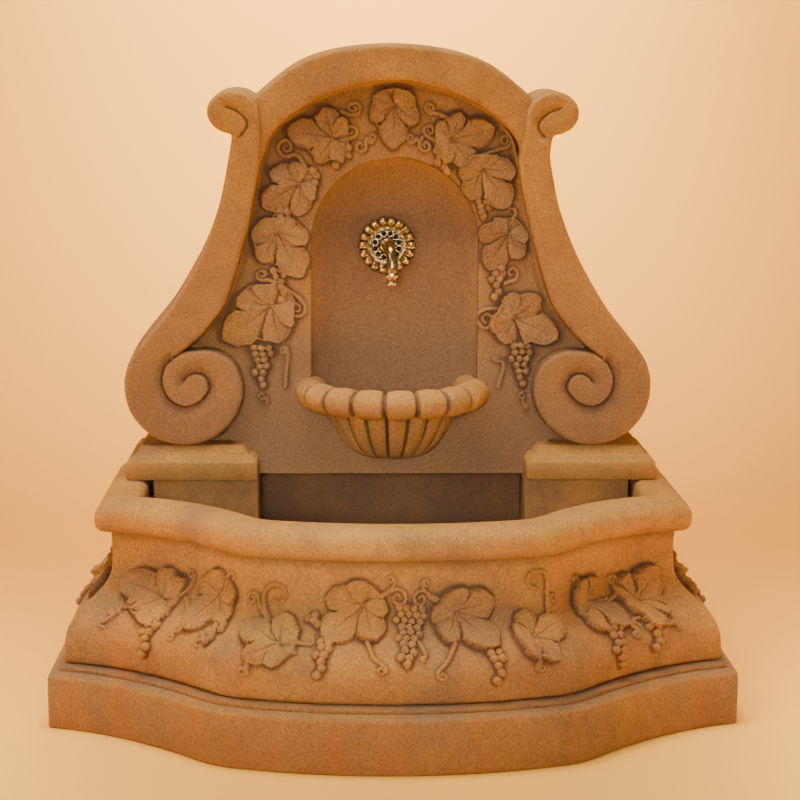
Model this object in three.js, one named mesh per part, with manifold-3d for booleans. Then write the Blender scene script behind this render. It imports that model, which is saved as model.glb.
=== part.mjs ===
// Wall fountain in cast stone with an antique brass spout, in millimetres.
// X runs across the front, -Y faces the viewer and +Z is up. The origin lies on the
// floor, under the middle of the footprint.
import * as THREE from 'three';
import { mergeVertices } from 'three/addons/utils/BufferGeometryUtils.js';
import Module from 'manifold-3d';

const wasm = await Module();
wasm.setup();

// Overall size
const WIDTH = 1120;
const DEPTH = 600;
const FRONT = -DEPTH / 2;
const BACK = DEPTH / 2;
const GAP = 0.3;

// Basin plan: a bowed front, a soft corner, a hollow wing and a sharp outer corner
const BOW_RADIUS = 870;
const BOW_HALF = 288;
const CORNER_SETBACK = 218;
const WING_SLOPE_IN = 1.0;
const WING_SLOPE_OUT = 0.25;
const SOFTENING = 0.1;

// Basin section
const PLINTH_HEIGHT = 90;
const BODY_FOOT = 104;
const BODY_TOP = 306;
const RIM_TOP = 360;
const RIM_INSET = 73;
const WALL_INSET = 144;
const FLOOR_THICKNESS = 55;
const BACK_WALL = 38;

// Inset of the body behind the plinth face, by height
const BODY_PROFILE = [
  [BODY_FOOT, 30], [114, 26.5], [138, 26.5], [162, 33], [184, 49], [204, 72], [226, 91],
  [256, 99], [BODY_TOP, 98],
];

// Panel depths and frame
const FIELD_Y = 192;
const RIBBON_Y = 152;
const ARCH_Y = 160;
const DRAFT = 5;
const ARCH_TOP = 1093;
const ARCH_BAND = 59;

// Cap blocks under the volutes
const CAP_INNER = 230;
const CAP_OUTER = 452.5;
const CAP_FRONT = 136;
const CAP_PROFILE = [[0, 2], [2, 0], [31, 0], [33, 2], [41, 9], [44, 15], [54, 22], [57, 24]];

// Volutes and top scrolls; the ribbons and volutes sit a little left of the middle
const FRAME_SHIFT = -6;
const VOLUTE = { x: 344, z: 530 };
const VOLUTE_GROOVE = [[353, 571], [371, 563], [382, 546], [385, 525], [377, 502], [362, 489], [343, 485],
  [322, 493], [306, 513], [309, 530], [318, 539], [332, 541], [343, 535], [347, 529]];
const SCROLL = { x: 266, z: 981, rx: 43, rz: 36 };
const SCROLL_GROOVE = [[253, 944], [246, 951], [243, 962], [250, 973], [261.5, 982], [268, 985], [277, 988]];

// Niche and half bowl
const NICHE = { x: 4, half: 142, spring: 763, depth: 62 };
const BOWL_RIM_Z = 505;
const BOWL_RADIUS = 140;
const BOWL_ROLL = 28;
const BOWL_ROLL_HALF = 25;
const BOWL_LOBES = 18;
const LOBE_TURN = THREE.MathUtils.degToRad(5);
const CUP_FLUTES = 18;
const CUP_PROFILE = [[490, 114], [462, 103], [438, 85], [415, 64], [397, 42]];
const BOWL_INSIDE = [[BOWL_RIM_Z + 40, 114], [BOWL_RIM_Z, 110], [484, 98], [462, 76], [447, 45], [441, 0]];

// Piers inside the basin
const PIER_CLEARANCE = 8;
const PIER_WIDTH = 179;
const PIER_FRONT = 144;
const PIER_ARRIS = 4;

// Spout
const SPOUT_X = -8;
const SPOUT_Z = 753;
const ROSETTE_RADIUS = 50;
const ROSETTE_LOBES = 18;
const PIPE_RADIUS = 9;
const COLLAR_RADIUS = 13.5;
const NOZZLE_RADIUS = 9.5;
const NOZZLE_BORE = 6;
const NOZZLE_BOTTOM = 692;

// Relief heights
const LEAF_RISE = 11;
const GRAPE_RADIUS = 8.5;
const TENDRIL_HALF = 4.5;
const TENDRIL_RISE = 7;
const LEAF_ROOT = 14;
const GRAPE_ROOT = 5;
const TENDRIL_ROOT = 6;

// Vine layout. A leaf is its stem joint and the tips of its middle and two side lobes;
// a bunch is its top, its tip and its grapes; a tendril is its tail, the middle of its
// curl, the curl's radius, its turns and the angle at which the tail joins it.
const PANEL_LEAVES = [
  [2, 995, 1, 920, -37, 968, 42, 964], [-101, 938, -178, 951, -130, 898, -116, 989],
  [-156, 862, -220, 821, -159, 807, -207, 882], [-198, 778, -152, 705, -142, 767, -223, 727],
  [-205, 654, -290, 593, -194, 588, -268, 664], [98, 935, 172, 956, 114, 982, 137, 892],
  [151, 886, 199, 823, 210, 884, 129, 835], [197, 779, 162, 717, 219, 735, 145, 776],
  [208, 634, 287, 600, 255, 668, 193, 587],
];
const PANEL_BUNCHES = [
  [-86, 925, -96, 893, 8], [-136, 883, -128, 864, 3], [-184, 815, -189, 795, 5],
  [-196, 715, -186, 666, 9], [-224, 581, -225, 517, 13], [81, 919, 90, 882, 7],
  [153, 832, 152, 806, 5], [180, 720, 179, 670, 8], [222, 585, 223, 519, 14],
];
const PANEL_TENDRILS = [
  [-146, 889, -180, 923, 16, -1.3, -70], [-86, 981, -66, 988, 12, 1.1, -90],
  [-86, 933, -71, 950, 11, 0.9, -60], [-44, 937, -54, 925, 11, -0.9, 40],
  [106, 956, 63, 989, 10, -1.1, -80], [81, 931, 63, 951, 10, -0.9, -120],
  [50, 939, 55, 926, 11, 0.9, 140], [147, 906, 190, 934, 11, 1.1, -80],
  [193, 692, 204, 711, 12, 0.9, -60], [197, 644, 161, 630, 17, 1.2, 120],
  [-181, 683, -164, 649, 17, -1.2, 50],
];
const BASIN_LEAVES = [
  [-57, 165, -115, 101, -36, 101, -120, 176], [-179, 92, -246, 125, -224, 63, -185, 147],
  [93, 152, 148, 87, 160, 169, 73, 98], [204, 98, 268, 124, 209, 148, 234, 61],
  [-431, 129, -525, 159, -464, 100, -449, 182], [-319, 162, -354, 88, -287, 112, -365, 178],
  [347, 140, 399, 85, 390, 170, 340, 81], [445, 115, 521, 172, 484, 94, 453, 169],
];
const BASIN_BUNCHES = [
  [21, 159, 11, 64, 25], [-139, 143, -130, 128, 4], [-111, 97, -112, 48, 9],
  [140, 79, 142, 37, 6], [-421, 103, -412, 37, 11], [-291, 115, -297, 78, 6],
  [364, 83, 359, 28, 10], [446, 92, 435, 39, 9],
];
const BASIN_TENDRILS = [
  [-212, 135, -203, 172, 24, -0.9, 200], [-209, 134, -246, 166, 10, 0.9, 20],
  [-40, 176, 0, 175, 15, -1.1, 110], [76, 164, 38, 173, 13, 1.1, 70],
  [249, 136, 237, 192, 22, 0.95, 0], [247, 137, 270, 160, 10, -0.9, 180],
];
// The same on each side face, measured along the wall from the middle of the front
const SIDE_LEAVES = [
  [650, 150, 590, 108, 600, 186, 655, 98], [748, 128, 812, 166, 738, 182, 800, 92],
];
const SIDE_BUNCHES = [[698, 118, 694, 62, 9]];
const SIDE_TENDRILS = [[700, 140, 694, 176, 13, 1.2, -60]];

// Solids

function makeSolid(positions, triangles) {
  const mesh = new wasm.Mesh({
    numProp: 3,
    vertProperties: new Float32Array(positions),
    triVerts: new Uint32Array(triangles),
  });
  return new wasm.Manifold(mesh);
}

function fromGeometry(geometry, matrix = new THREE.Matrix4()) {
  geometry.deleteAttribute('normal');
  geometry.deleteAttribute('uv');
  const merged = mergeVertices(geometry.applyMatrix4(matrix), 1e-4);
  return makeSolid(merged.attributes.position.array, merged.index.array);
}

function toMesh(name, solid, material) {
  const { vertProperties, triVerts, numProp } = solid.getMesh();
  const positions = new Float32Array((vertProperties.length / numProp) * 3);
  for (let i = 0; i < positions.length / 3; i += 1) {
    positions.set(vertProperties.subarray(i * numProp, i * numProp + 3), i * 3);
  }
  const geometry = new THREE.BufferGeometry();
  geometry.setAttribute('position', new THREE.BufferAttribute(positions, 3));
  geometry.setIndex(new THREE.BufferAttribute(new Uint32Array(triVerts), 1));
  geometry.computeVertexNormals();
  const mesh = new THREE.Mesh(geometry, material);
  mesh.name = name;
  return mesh;
}

function signedVolume(points, triangles) {
  let sum = 0;
  for (let i = 0; i < triangles.length; i += 3) {
    const [a, b, c] = [points[triangles[i]], points[triangles[i + 1]], points[triangles[i + 2]]];
    sum += a.dot(new THREE.Vector3().crossVectors(b, c));
  }
  return sum / 6;
}

// A closed body from points and triangles, turned so that its faces point out
function closeBody(points, triangles) {
  const out = triangles.slice();
  if (signedVolume(points, triangles) < 0) out.reverse();
  return makeSolid(points.flatMap((p) => p.toArray()), out);
}

// A body through loops of equal length; flatten gives the plane of the two end faces
function loft(loops, flatten) {
  const count = loops[0].length;
  const triangles = [];
  for (let k = 0; k + 1 < loops.length; k += 1) {
    for (let i = 0; i < count; i += 1) {
      const a = k * count + i;
      const b = k * count + ((i + 1) % count);
      triangles.push(a, b, b + count, a, b + count, a + count);
    }
  }
  const turn = Math.sign(THREE.ShapeUtils.area(loops[0].map(flatten)));
  const addEnd = (loop, start, side) => {
    const flat = loop.map(flatten);
    for (const [a, b, c] of THREE.ShapeUtils.triangulateShape(flat.slice(), [])) {
      const facing = Math.sign(THREE.ShapeUtils.area([flat[a], flat[b], flat[c]]));
      if (facing === turn * side) triangles.push(start + a, start + b, start + c);
      else triangles.push(start + c, start + b, start + a);
    }
  };
  addEnd(loops[0], 0, -1);
  addEnd(loops[loops.length - 1], (loops.length - 1) * count, 1);
  return closeBody(loops.flat(), triangles);
}

const flatXY = (p) => new THREE.Vector2(p.x, p.y);
const flatXZ = (p) => new THREE.Vector2(p.x, p.z);

function joinAll(solids) {
  return solids.reduce((all, one) => all.add(one));
}

// Basin

const KINK = new THREE.Vector2(BOW_HALF, FRONT + BOW_RADIUS - Math.sqrt(BOW_RADIUS ** 2 - BOW_HALF ** 2));
const BOW_CENTRE = new THREE.Vector2(0, FRONT + BOW_RADIUS);
const CORNER = new THREE.Vector2(WIDTH / 2, FRONT + CORNER_SETBACK);
const WING_RUN = CORNER.x - KINK.x;
const WING_SCALE = (CORNER.y - KINK.y) / (WING_RUN * (WING_SLOPE_IN + WING_SLOPE_OUT) / 2);

function inward(slope) {
  return new THREE.Vector2(-slope, 1).normalize();
}

function wingSlope(s) {
  return WING_SCALE * THREE.MathUtils.lerp(WING_SLOPE_IN, WING_SLOPE_OUT, s);
}

function wingBase(s) {
  const rise = WING_SLOPE_IN * s - (WING_SLOPE_IN - WING_SLOPE_OUT) * s * s / 2;
  return new THREE.Vector2(KINK.x + WING_RUN * s, KINK.y + WING_RUN * WING_SCALE * rise);
}

function kinkAt(inset) {
  const a = BOW_CENTRE.clone().sub(KINK).normalize();
  const b = inward(wingSlope(0));
  const mitre = a.clone().add(b).divideScalar(1 + a.dot(b));
  return KINK.clone().addScaledVector(mitre, inset);
}

function cornerAt(inset) {
  const slope = wingSlope(1);
  return new THREE.Vector2(CORNER.x - inset, CORNER.y + inset * (Math.hypot(1, slope) - slope));
}

// Half plan at an inset: 0 to 1 runs over the bow, 1 to 2 over the wing, 2 to 3 over the side
function rawPlan(p, inset) {
  if (p <= 1) {
    const kink = kinkAt(inset);
    const radius = kink.distanceTo(BOW_CENTRE);
    const angle = p * Math.atan2(kink.x, BOW_CENTRE.y - kink.y);
    return new THREE.Vector2(radius * Math.sin(angle), BOW_CENTRE.y - radius * Math.cos(angle));
  }
  const corner = cornerAt(inset);
  if (p > 2) return new THREE.Vector2(corner.x, THREE.MathUtils.lerp(corner.y, BACK, p - 2));
  const s = p - 1;
  const near = kinkAt(inset).sub(wingBase(0).addScaledVector(inward(wingSlope(0)), inset));
  const far = corner.sub(wingBase(1).addScaledVector(inward(wingSlope(1)), inset));
  return wingBase(s)
    .addScaledVector(inward(wingSlope(s)), inset)
    .addScaledVector(near, 1 - s)
    .addScaledVector(far, s);
}

function plan(p, inset) {
  const side = Math.abs(p);
  let point = rawPlan(side, inset);
  if (Math.abs(side - 1) < SOFTENING) {
    const t = (side - 1 + SOFTENING) / (2 * SOFTENING);
    point = rawPlan(1 - SOFTENING, inset).multiplyScalar((1 - t) ** 2)
      .addScaledVector(rawPlan(1, inset), 2 * t * (1 - t))
      .addScaledVector(rawPlan(1 + SOFTENING, inset), t * t);
  }
  point.x *= Math.sign(p) || 1;
  return point;
}

function bodyInset(z) {
  const last = BODY_PROFILE.length - 1;
  if (z >= BODY_PROFILE[last][0]) return BODY_PROFILE[last][1];
  const k = Math.max(1, BODY_PROFILE.findIndex(([height]) => height > z));
  const [z0, d0] = BODY_PROFILE[k - 1];
  const [z1, d1] = BODY_PROFILE[k];
  return THREE.MathUtils.mapLinear(Math.max(z, z0), z0, z1, d0, d1);
}

const HALF_STEPS = [0.22, 0.45, 0.67, 0.9, 1, 1.1, 1.35, 1.65, 2, 3];
const PLAN_STEPS = [...HALF_STEPS.map((p) => -p).reverse(), 0, ...HALF_STEPS];

function basinLoop(z, inset, back) {
  return PLAN_STEPS.map((p) => {
    const { x, y } = plan(p, inset);
    return new THREE.Vector3(x, Math.min(y, back), z);
  });
}

function basinShell() {
  const inner = BACK - BACK_WALL;
  const rimBulge = (RIM_TOP - BODY_TOP) / 2;
  const rimMiddle = (RIM_TOP + BODY_TOP) / 2;
  const rows = [
    [0, 3, BACK], [4, 0, BACK], [PLINTH_HEIGHT - 5, 0, BACK], [PLINTH_HEIGHT, 5, BACK],
    [PLINTH_HEIGHT + 1, 22, BACK], [PLINTH_HEIGHT + 8, 19, BACK],
    ...BODY_PROFILE.map(([z, inset]) => [z, inset, BACK]),
    [BODY_TOP + 5, RIM_INSET + 8, BACK], [rimMiddle, RIM_INSET, BACK],
    [RIM_TOP - 10, RIM_INSET + 5, BACK], [RIM_TOP - 2, RIM_INSET + 17, BACK],
    [RIM_TOP, RIM_INSET + rimBulge + 8, BACK], [RIM_TOP - 0.5, WALL_INSET - 14, inner],
    [RIM_TOP - 6, WALL_INSET - 4, inner], [RIM_TOP - 14, WALL_INSET, inner],
    [FLOOR_THICKNESS + 6, WALL_INSET + 3, inner - 2], [FLOOR_THICKNESS, WALL_INSET + 6, inner - 6],
  ];
  return loft(rows.map((row) => basinLoop(...row)), flatXY);
}

// Wall length from the middle of the front, at the height of the relief
const RELIEF_INSET = 62;
const WALL_LENGTHS = [0, 1, 2, 3].map((_, section) => {
  let length = 0;
  for (let i = 0; i < section * 100; i += 1) {
    length += plan(i / 100, RELIEF_INSET).distanceTo(plan((i + 1) / 100, RELIEF_INSET));
  }
  return length;
});

function planAtLength(u) {
  const length = Math.abs(u);
  const k = WALL_LENGTHS.slice(1, 3).filter((end) => length >= end).length;
  const share = (length - WALL_LENGTHS[k]) / (WALL_LENGTHS[k + 1] - WALL_LENGTHS[k]);
  return (k + share) * (Math.sign(u) || 1);
}

function heightAtLength(v) {
  let rest = v;
  for (let k = 1; k < BODY_PROFILE.length; k += 1) {
    const [z0, d0] = BODY_PROFILE[k - 1];
    const [z1, d1] = BODY_PROFILE[k];
    const step = Math.hypot(z1 - z0, d1 - d0);
    if (rest <= step) return z0 + (z1 - z0) * rest / step;
    rest -= step;
  }
  return BODY_TOP;
}

// A point of the body, u along the wall, v up the body from its foot, h out of it
function onBody(u, v, h) {
  const z = heightAtLength(v);
  const { x, y } = plan(planAtLength(u), bodyInset(z) - h);
  return new THREE.Vector3(x, y, z);
}

function onField(u, v, h) {
  return new THREE.Vector3(u, FIELD_Y - h, v);
}

// Vine relief

function leafOutline([jx, jz, ...tips]) {
  const lobes = [0, 2, 4].map((k) => {
    const reach = new THREE.Vector2(tips[k] - jx, tips[k + 1] - jz);
    return { angle: reach.angle(), length: reach.length() };
  });
  const gap = (a, b) => Math.atan2(Math.sin(a - b), Math.cos(a - b));
  const radius = (angle) => Math.max(...lobes.map(({ angle: axis, length }) => {
    return length * Math.max(0.12, Math.cos(1.15 * Math.min(gap(angle, axis), gap(axis, angle)))) ** 0.8;
  }));
  const [middle] = lobes;
  const [right, left] = lobes.slice(1).sort((a, b) => gap(a.angle, middle.angle) - gap(b.angle, middle.angle));
  const spanRight = gap(right.angle, middle.angle);
  const spanLeft = gap(left.angle, middle.angle);
  const offsets = [
    [spanRight - 1.1, 1], [spanRight - 0.3, 1], [spanRight * 0.65, 1], [spanRight * 0.5, 0.6],
    [spanRight * 0.35, 1], [0, 1], [spanLeft * 0.35, 1], [spanLeft * 0.5, 0.6],
    [spanLeft * 0.65, 1], [spanLeft + 0.3, 1], [spanLeft + 1.1, 1],
  ];
  return offsets.map(([offset, share]) => {
    const angle = middle.angle + offset;
    const reach = Math.max(radius(angle) * share, 0.14 * middle.length);
    return new THREE.Vector2(jx + reach * Math.cos(angle), jz + reach * Math.sin(angle));
  });
}

function leafSolid(leaf, place) {
  const outline = leafOutline(leaf);
  const count = outline.length;
  const points = [
    ...outline.map(({ x, y }) => place(x, y, LEAF_RISE)),
    ...outline.map(({ x, y }) => place(x, y, -LEAF_ROOT)),
    place(leaf[0], leaf[1], LEAF_RISE * 0.7), place(leaf[0], leaf[1], -LEAF_ROOT),
  ];
  const triangles = [];
  for (let i = 0; i < count; i += 1) {
    const j = (i + 1) % count;
    triangles.push(2 * count, i, j, j + count, i + count, 2 * count + 1);
    triangles.push(i, i + count, j + count, i, j + count, j);
  }
  return closeBody(points, triangles);
}

// Grape centres in staggered rows that narrow towards the tip
function grapeCentres([x0, z0, x1, z1, total]) {
  const axis = new THREE.Vector2(x1 - x0, z1 - z0);
  const step = GRAPE_RADIUS * 1.9;
  const rows = Math.max(2, Math.round(axis.length() / (step * 0.87)) + 1);
  const across = new THREE.Vector2(-axis.y, axis.x).normalize();
  const centres = [];
  for (let row = 0; row < rows; row += 1) {
    const share = 1 - row / (rows - 0.5);
    const count = Math.max(1, Math.round(1.35 * total / rows * share));
    for (let k = 0; k < count; k += 1) {
      const along = new THREE.Vector2(x0, z0).addScaledVector(axis, row / (rows - 1));
      const shift = (k - (count - 1) / 2) * step + (row % 2 ? 1.5 : -1.5);
      centres.push(along.addScaledVector(across, shift));
    }
  }
  return centres;
}

function grapeSolid(centre, place) {
  const sides = 5;
  const points = [place(centre.x, centre.y, GRAPE_RADIUS), place(centre.x, centre.y, -2 * GRAPE_ROOT)];
  const triangles = [];
  for (let i = 0; i < sides; i += 1) {
    const angle = (i / sides) * 2 * Math.PI;
    const reach = GRAPE_RADIUS + GRAPE_ROOT / 2;
    points.push(place(
      centre.x + reach * Math.cos(angle),
      centre.y + reach * Math.sin(angle),
      -GRAPE_ROOT,
    ));
    triangles.push(0, 2 + i, 2 + (i + 1) % sides, 1, 2 + (i + 1) % sides, 2 + i);
  }
  return closeBody(points, triangles);
}

function tendrilPath([x0, z0, cx, cz, radius, turns, entry]) {
  const start = THREE.MathUtils.degToRad(entry);
  const sweep = turns * 2 * Math.PI;
  const steps = Math.ceil(Math.abs(turns) * 5);
  const curl = [];
  for (let i = 0; i <= steps; i += 1) {
    const angle = start + sweep * i / steps;
    const reach = radius * (1 - 0.6 * i / steps);
    curl.push(new THREE.Vector2(cx + reach * Math.cos(angle), cz + reach * Math.sin(angle)));
  }
  const tail = new THREE.Vector2(x0, z0);
  const along = new THREE.Vector2(-Math.sin(start), Math.cos(start)).multiplyScalar(Math.sign(turns));
  const bend = curl[0].clone().addScaledVector(along, -0.5 * tail.distanceTo(curl[0]));
  const lead = new THREE.QuadraticBezierCurve(tail, bend, curl[0]).getPoints(2);
  return [...lead.slice(0, -1), ...curl];
}

function tendrilSolid(tendril, place) {
  const path = tendrilPath(tendril);
  const last = path.length - 1;
  const points = path.flatMap((point, i) => {
    const ahead = path[Math.min(i + 1, last)].clone().sub(path[Math.max(i - 1, 0)]).normalize();
    const side = new THREE.Vector2(-ahead.y, ahead.x).multiplyScalar(TENDRIL_HALF);
    return [
      place(point.x + side.x, point.y + side.y, -TENDRIL_ROOT),
      place(point.x, point.y, TENDRIL_RISE),
      place(point.x - side.x, point.y - side.y, -TENDRIL_ROOT),
    ];
  });
  const triangles = [0, 2, 1, 3 * last, 3 * last + 1, 3 * last + 2];
  for (let i = 0; i < last; i += 1) {
    for (let k = 0; k < 3; k += 1) {
      const a = 3 * i + k;
      const b = 3 * i + ((k + 1) % 3);
      triangles.push(a, b, b + 3, a, b + 3, a + 3);
    }
  }
  return closeBody(points, triangles);
}

function vine(leaves, bunches, tendrils, place) {
  return [
    ...leaves.map((leaf) => leafSolid(leaf, place)),
    ...bunches.flatMap(grapeCentres).map((centre) => grapeSolid(centre, place)),
    ...tendrils.map((tendril) => tendrilSolid(tendril, place)),
  ];
}

function basin() {
  const mirrored = (u, v, h) => onBody(-u, v, h);
  return joinAll([
    basinShell(),
    ...vine(BASIN_LEAVES, BASIN_BUNCHES, BASIN_TENDRILS, onBody),
    ...vine(SIDE_LEAVES, SIDE_BUNCHES, SIDE_TENDRILS, onBody),
    ...vine(SIDE_LEAVES, SIDE_BUNCHES, SIDE_TENDRILS, mirrored),
  ]);
}

// Back panel

function spline(pairs, count) {
  return new THREE.SplineCurve(pairs.map(([x, z]) => new THREE.Vector2(x, z))).getPoints(count);
}

// The outline moved outwards by a distance, corner by corner
function grow(outline, distance) {
  const turn = Math.sign(THREE.ShapeUtils.area(outline));
  return outline.map((point, i) => {
    const before = outline[(i + outline.length - 1) % outline.length];
    const after = outline[(i + 1) % outline.length];
    const [a, b] = [point.clone().sub(before), after.clone().sub(point)].map((edge) => {
      return new THREE.Vector2(edge.y, -edge.x).normalize().multiplyScalar(turn);
    });
    const mitre = a.clone().add(b).divideScalar(Math.max(1 + a.dot(b), 0.5));
    return point.clone().addScaledVector(mitre, distance);
  });
}

// A plate from its front face back to the wall, with an eased front arris and draft
function plate(outline, front, arris = 4) {
  const levels = [[front, -arris], [front + arris, 0], [BACK, DRAFT]];
  const loops = levels.map(([y, distance]) => {
    return grow(outline, distance).map((point) => new THREE.Vector3(point.x, y, point.y));
  });
  return loft(loops, flatXZ);
}

const mirror = (outline) => outline.map(({ x, y }) => new THREE.Vector2(-x, y)).reverse();

const RIBBON_OUTER = [
  [SCROLL.x + 2, SCROLL.z - 30], [268, 915], [276, 868], [289, 815], [318, 744], [362, 667],
  [388, 632], [416, 598], [440, 563], [450, 529],
];
const RIBBON_INNER = [
  [SCROLL.x - 42, SCROLL.z + 8], [218, 930], [217, 893], [227, 836], [247, 752], [274, 667],
  [293, 636], [323, 601], [368, 566],
];

function archOutline() {
  const outer = spline([[-250, 985], [-228, 1010], [-160, 1062], [-90, 1085], [0, ARCH_TOP],
    [90, 1085], [160, 1062], [228, 1010], [250, 985]], 16);
  const inner = spline([[232, 880], [215, 910], [203, 942], [158, 984], [90, 1017],
    [0, ARCH_TOP - ARCH_BAND], [-90, 1017], [-158, 984], [-203, 942], [-215, 910], [-232, 880]], 18);
  return [...outer, ...inner];
}

function ribbonOutline() {
  return [
    ...spline(RIBBON_OUTER, 14),
    new THREE.Vector2(VOLUTE.x, VOLUTE.z),
    ...spline(RIBBON_INNER, 13).reverse(),
  ];
}

// Reach of the volute from its eye, by angle down from the outer side
const VOLUTE_REACH = [[0, 105], [30, 111], [60, 114], [90, 113.5], [130, 107], [167, 99],
  [200, 86], [230, 66], [252, 53], [300, 43], [330, 43]];

function voluteOutline() {
  return VOLUTE_REACH.flatMap(([degrees, reach], i) => {
    const [nextDegrees, nextReach] = VOLUTE_REACH[(i + 1) % VOLUTE_REACH.length];
    const middle = nextDegrees > degrees ? [(degrees + nextDegrees) / 2, (reach + nextReach) / 2] : [345, 70];
    return [[degrees, reach], middle].map(([down, radius]) => {
      const angle = -THREE.MathUtils.degToRad(down);
      return new THREE.Vector2(VOLUTE.x + radius * Math.cos(angle), VOLUTE.z + radius * Math.sin(angle));
    });
  });
}

function scrollOutline() {
  return new THREE.EllipseCurve(SCROLL.x + 1, SCROLL.z, SCROLL.rx, SCROLL.rz).getPoints(20).slice(1);
}

// Groove along a path, cut into the frame face at the given depth
function groove(path, front, depth) {
  const sections = path.map((point, i) => {
    const ahead = path[Math.min(i + 1, path.length - 1)].clone().sub(path[Math.max(i - 1, 0)]).normalize();
    const side = new THREE.Vector2(-ahead.y, ahead.x);
    return [[5, front - 6], [0, front + depth], [-5, front - 6]].map(([shift, y]) => {
      return new THREE.Vector3(point.x + shift * side.x, y, point.y + shift * side.y);
    });
  });
  const last = sections.length - 1;
  const triangles = [0, 2, 1, 3 * last, 3 * last + 1, 3 * last + 2];
  for (let i = 0; i < last; i += 1) {
    for (let k = 0; k < 3; k += 1) {
      const a = 3 * i + k;
      const b = 3 * i + ((k + 1) % 3);
      triangles.push(a, b, b + 3, a, b + 3, a + 3);
    }
  }
  return closeBody(sections.flat(), triangles);
}

function capBlock() {
  const loops = CAP_PROFILE.map(([rise, inset]) => {
    const [x0, x1, y0] = [CAP_INNER + inset, CAP_OUTER - inset, CAP_FRONT + inset];
    return [[x0, y0], [x1, y0], [x1, BACK], [x0, BACK]].map(([x, y]) => {
      return new THREE.Vector3(x, y, RIM_TOP + GAP + rise);
    });
  });
  return loft(loops, flatXY);
}

function fieldSlab() {
  const edge = spline([[262, 930], [250, 830], [290, 740], [345, 640], [400, 560]], 8);
  const right = [
    new THREE.Vector2(CAP_INNER + 30, RIM_TOP + GAP), new THREE.Vector2(CAP_INNER + 30, RIM_TOP + 30),
    new THREE.Vector2(CAP_INNER + 100, RIM_TOP + 30), new THREE.Vector2(400, 470), ...edge.reverse(),
    new THREE.Vector2(232, 990), new THREE.Vector2(120, 1060),
  ];
  const outline = [...right, ...mirror(right)];
  return loft([FIELD_Y, BACK].map((y) => {
    return outline.map((point) => new THREE.Vector3(point.x, y, point.y));
  }), flatXZ);
}

function ring(count, radiusAt, turn = 0) {
  const points = [];
  for (let i = 0; i < count; i += 1) {
    const angle = (i / count) * 2 * Math.PI;
    const radius = radiusAt(angle);
    const turned = angle + turn - Math.PI / 2;
    points.push([radius * Math.cos(turned), radius * Math.sin(turned)]);
  }
  return points;
}

// How deep the valley between two lobes is at an angle, 0 on a crest and 1 in a valley
function valley(angle, lobes) {
  return Math.abs(Math.sin(angle * lobes / 2)) ** 4;
}

function bowlRim() {
  const around = BOWL_LOBES * 2;
  const section = 6;
  const points = [];
  for (let i = 0; i < around; i += 1) {
    const angle = (i / around) * 2 * Math.PI;
    const roll = BOWL_ROLL - 8 * valley(angle, BOWL_LOBES);
    for (let k = 0; k < section; k += 1) {
      const tilt = (k / section) * 2 * Math.PI;
      const reach = BOWL_RADIUS + roll * Math.cos(tilt);
      const turned = angle + LOBE_TURN;
      points.push(new THREE.Vector3(
        reach * Math.sin(turned),
        FIELD_Y - reach * Math.cos(turned),
        BOWL_RIM_Z + roll * Math.sin(tilt) * BOWL_ROLL_HALF / BOWL_ROLL,
      ));
    }
  }
  const triangles = [];
  for (let i = 0; i < around; i += 1) {
    for (let k = 0; k < section; k += 1) {
      const a = i * section + k;
      const b = i * section + ((k + 1) % section);
      const step = ((i + 1) % around - i) * section;
      triangles.push(a, b, b + step, a, b + step, a + step);
    }
  }
  return closeBody(points, triangles);
}

function bowlCup() {
  const loops = CUP_PROFILE.map(([z, radius]) => {
    return ring(CUP_FLUTES * 2, (angle) => radius * (1 - 0.07 * valley(angle, CUP_FLUTES)), LOBE_TURN)
      .map(([x, y]) => new THREE.Vector3(x, FIELD_Y + y, z));
  });
  return loft(loops, flatXY);
}

function box(x0, x1, y0, y1, z0, z1) {
  const centre = new THREE.Matrix4().makeTranslation((x0 + x1) / 2, (y0 + y1) / 2, (z0 + z1) / 2);
  return fromGeometry(new THREE.BoxGeometry(x1 - x0, y1 - y0, z1 - z0), centre);
}

function bowl() {
  const frontHalf = box(-200, 200, FIELD_Y - 200, FIELD_Y + 12, 380, 560);
  return joinAll([bowlRim(), bowlCup()]).intersect(frontHalf);
}

function bowlHollow() {
  const profile = [[BOWL_RIM_Z + 40, 0], ...BOWL_INSIDE];
  const points = profile.map(([z, radius], i) => (i ? new THREE.Vector2(radius, z) : new THREE.Vector2(0, z)));
  const place = new THREE.Matrix4().makeTranslation(0, FIELD_Y, 0)
    .multiply(new THREE.Matrix4().makeRotationX(Math.PI / 2));
  const beforeNiche = box(-200, 200, FIELD_Y - 200, FIELD_Y + NICHE.depth * 0.8, 400, 600);
  return fromGeometry(new THREE.LatheGeometry(points.reverse(), 22), place).intersect(beforeNiche);
}

function niche() {
  const squash = new THREE.Matrix4().makeScale(1, NICHE.depth / NICHE.half, 1);
  const place = new THREE.Matrix4().makeTranslation(NICHE.x, FIELD_Y, 0).multiply(squash);
  const bottom = BOWL_RIM_Z - 20;
  const shaft = new THREE.CylinderGeometry(NICHE.half, NICHE.half, NICHE.spring - bottom, 20);
  shaft.rotateX(Math.PI / 2).translate(0, 0, (NICHE.spring + bottom) / 2);
  const dome = new THREE.SphereGeometry(NICHE.half, 20, 10);
  dome.rotateX(Math.PI / 2).translate(0, 0, NICHE.spring);
  return fromGeometry(shaft, place).add(fromGeometry(dome, place));
}

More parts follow.
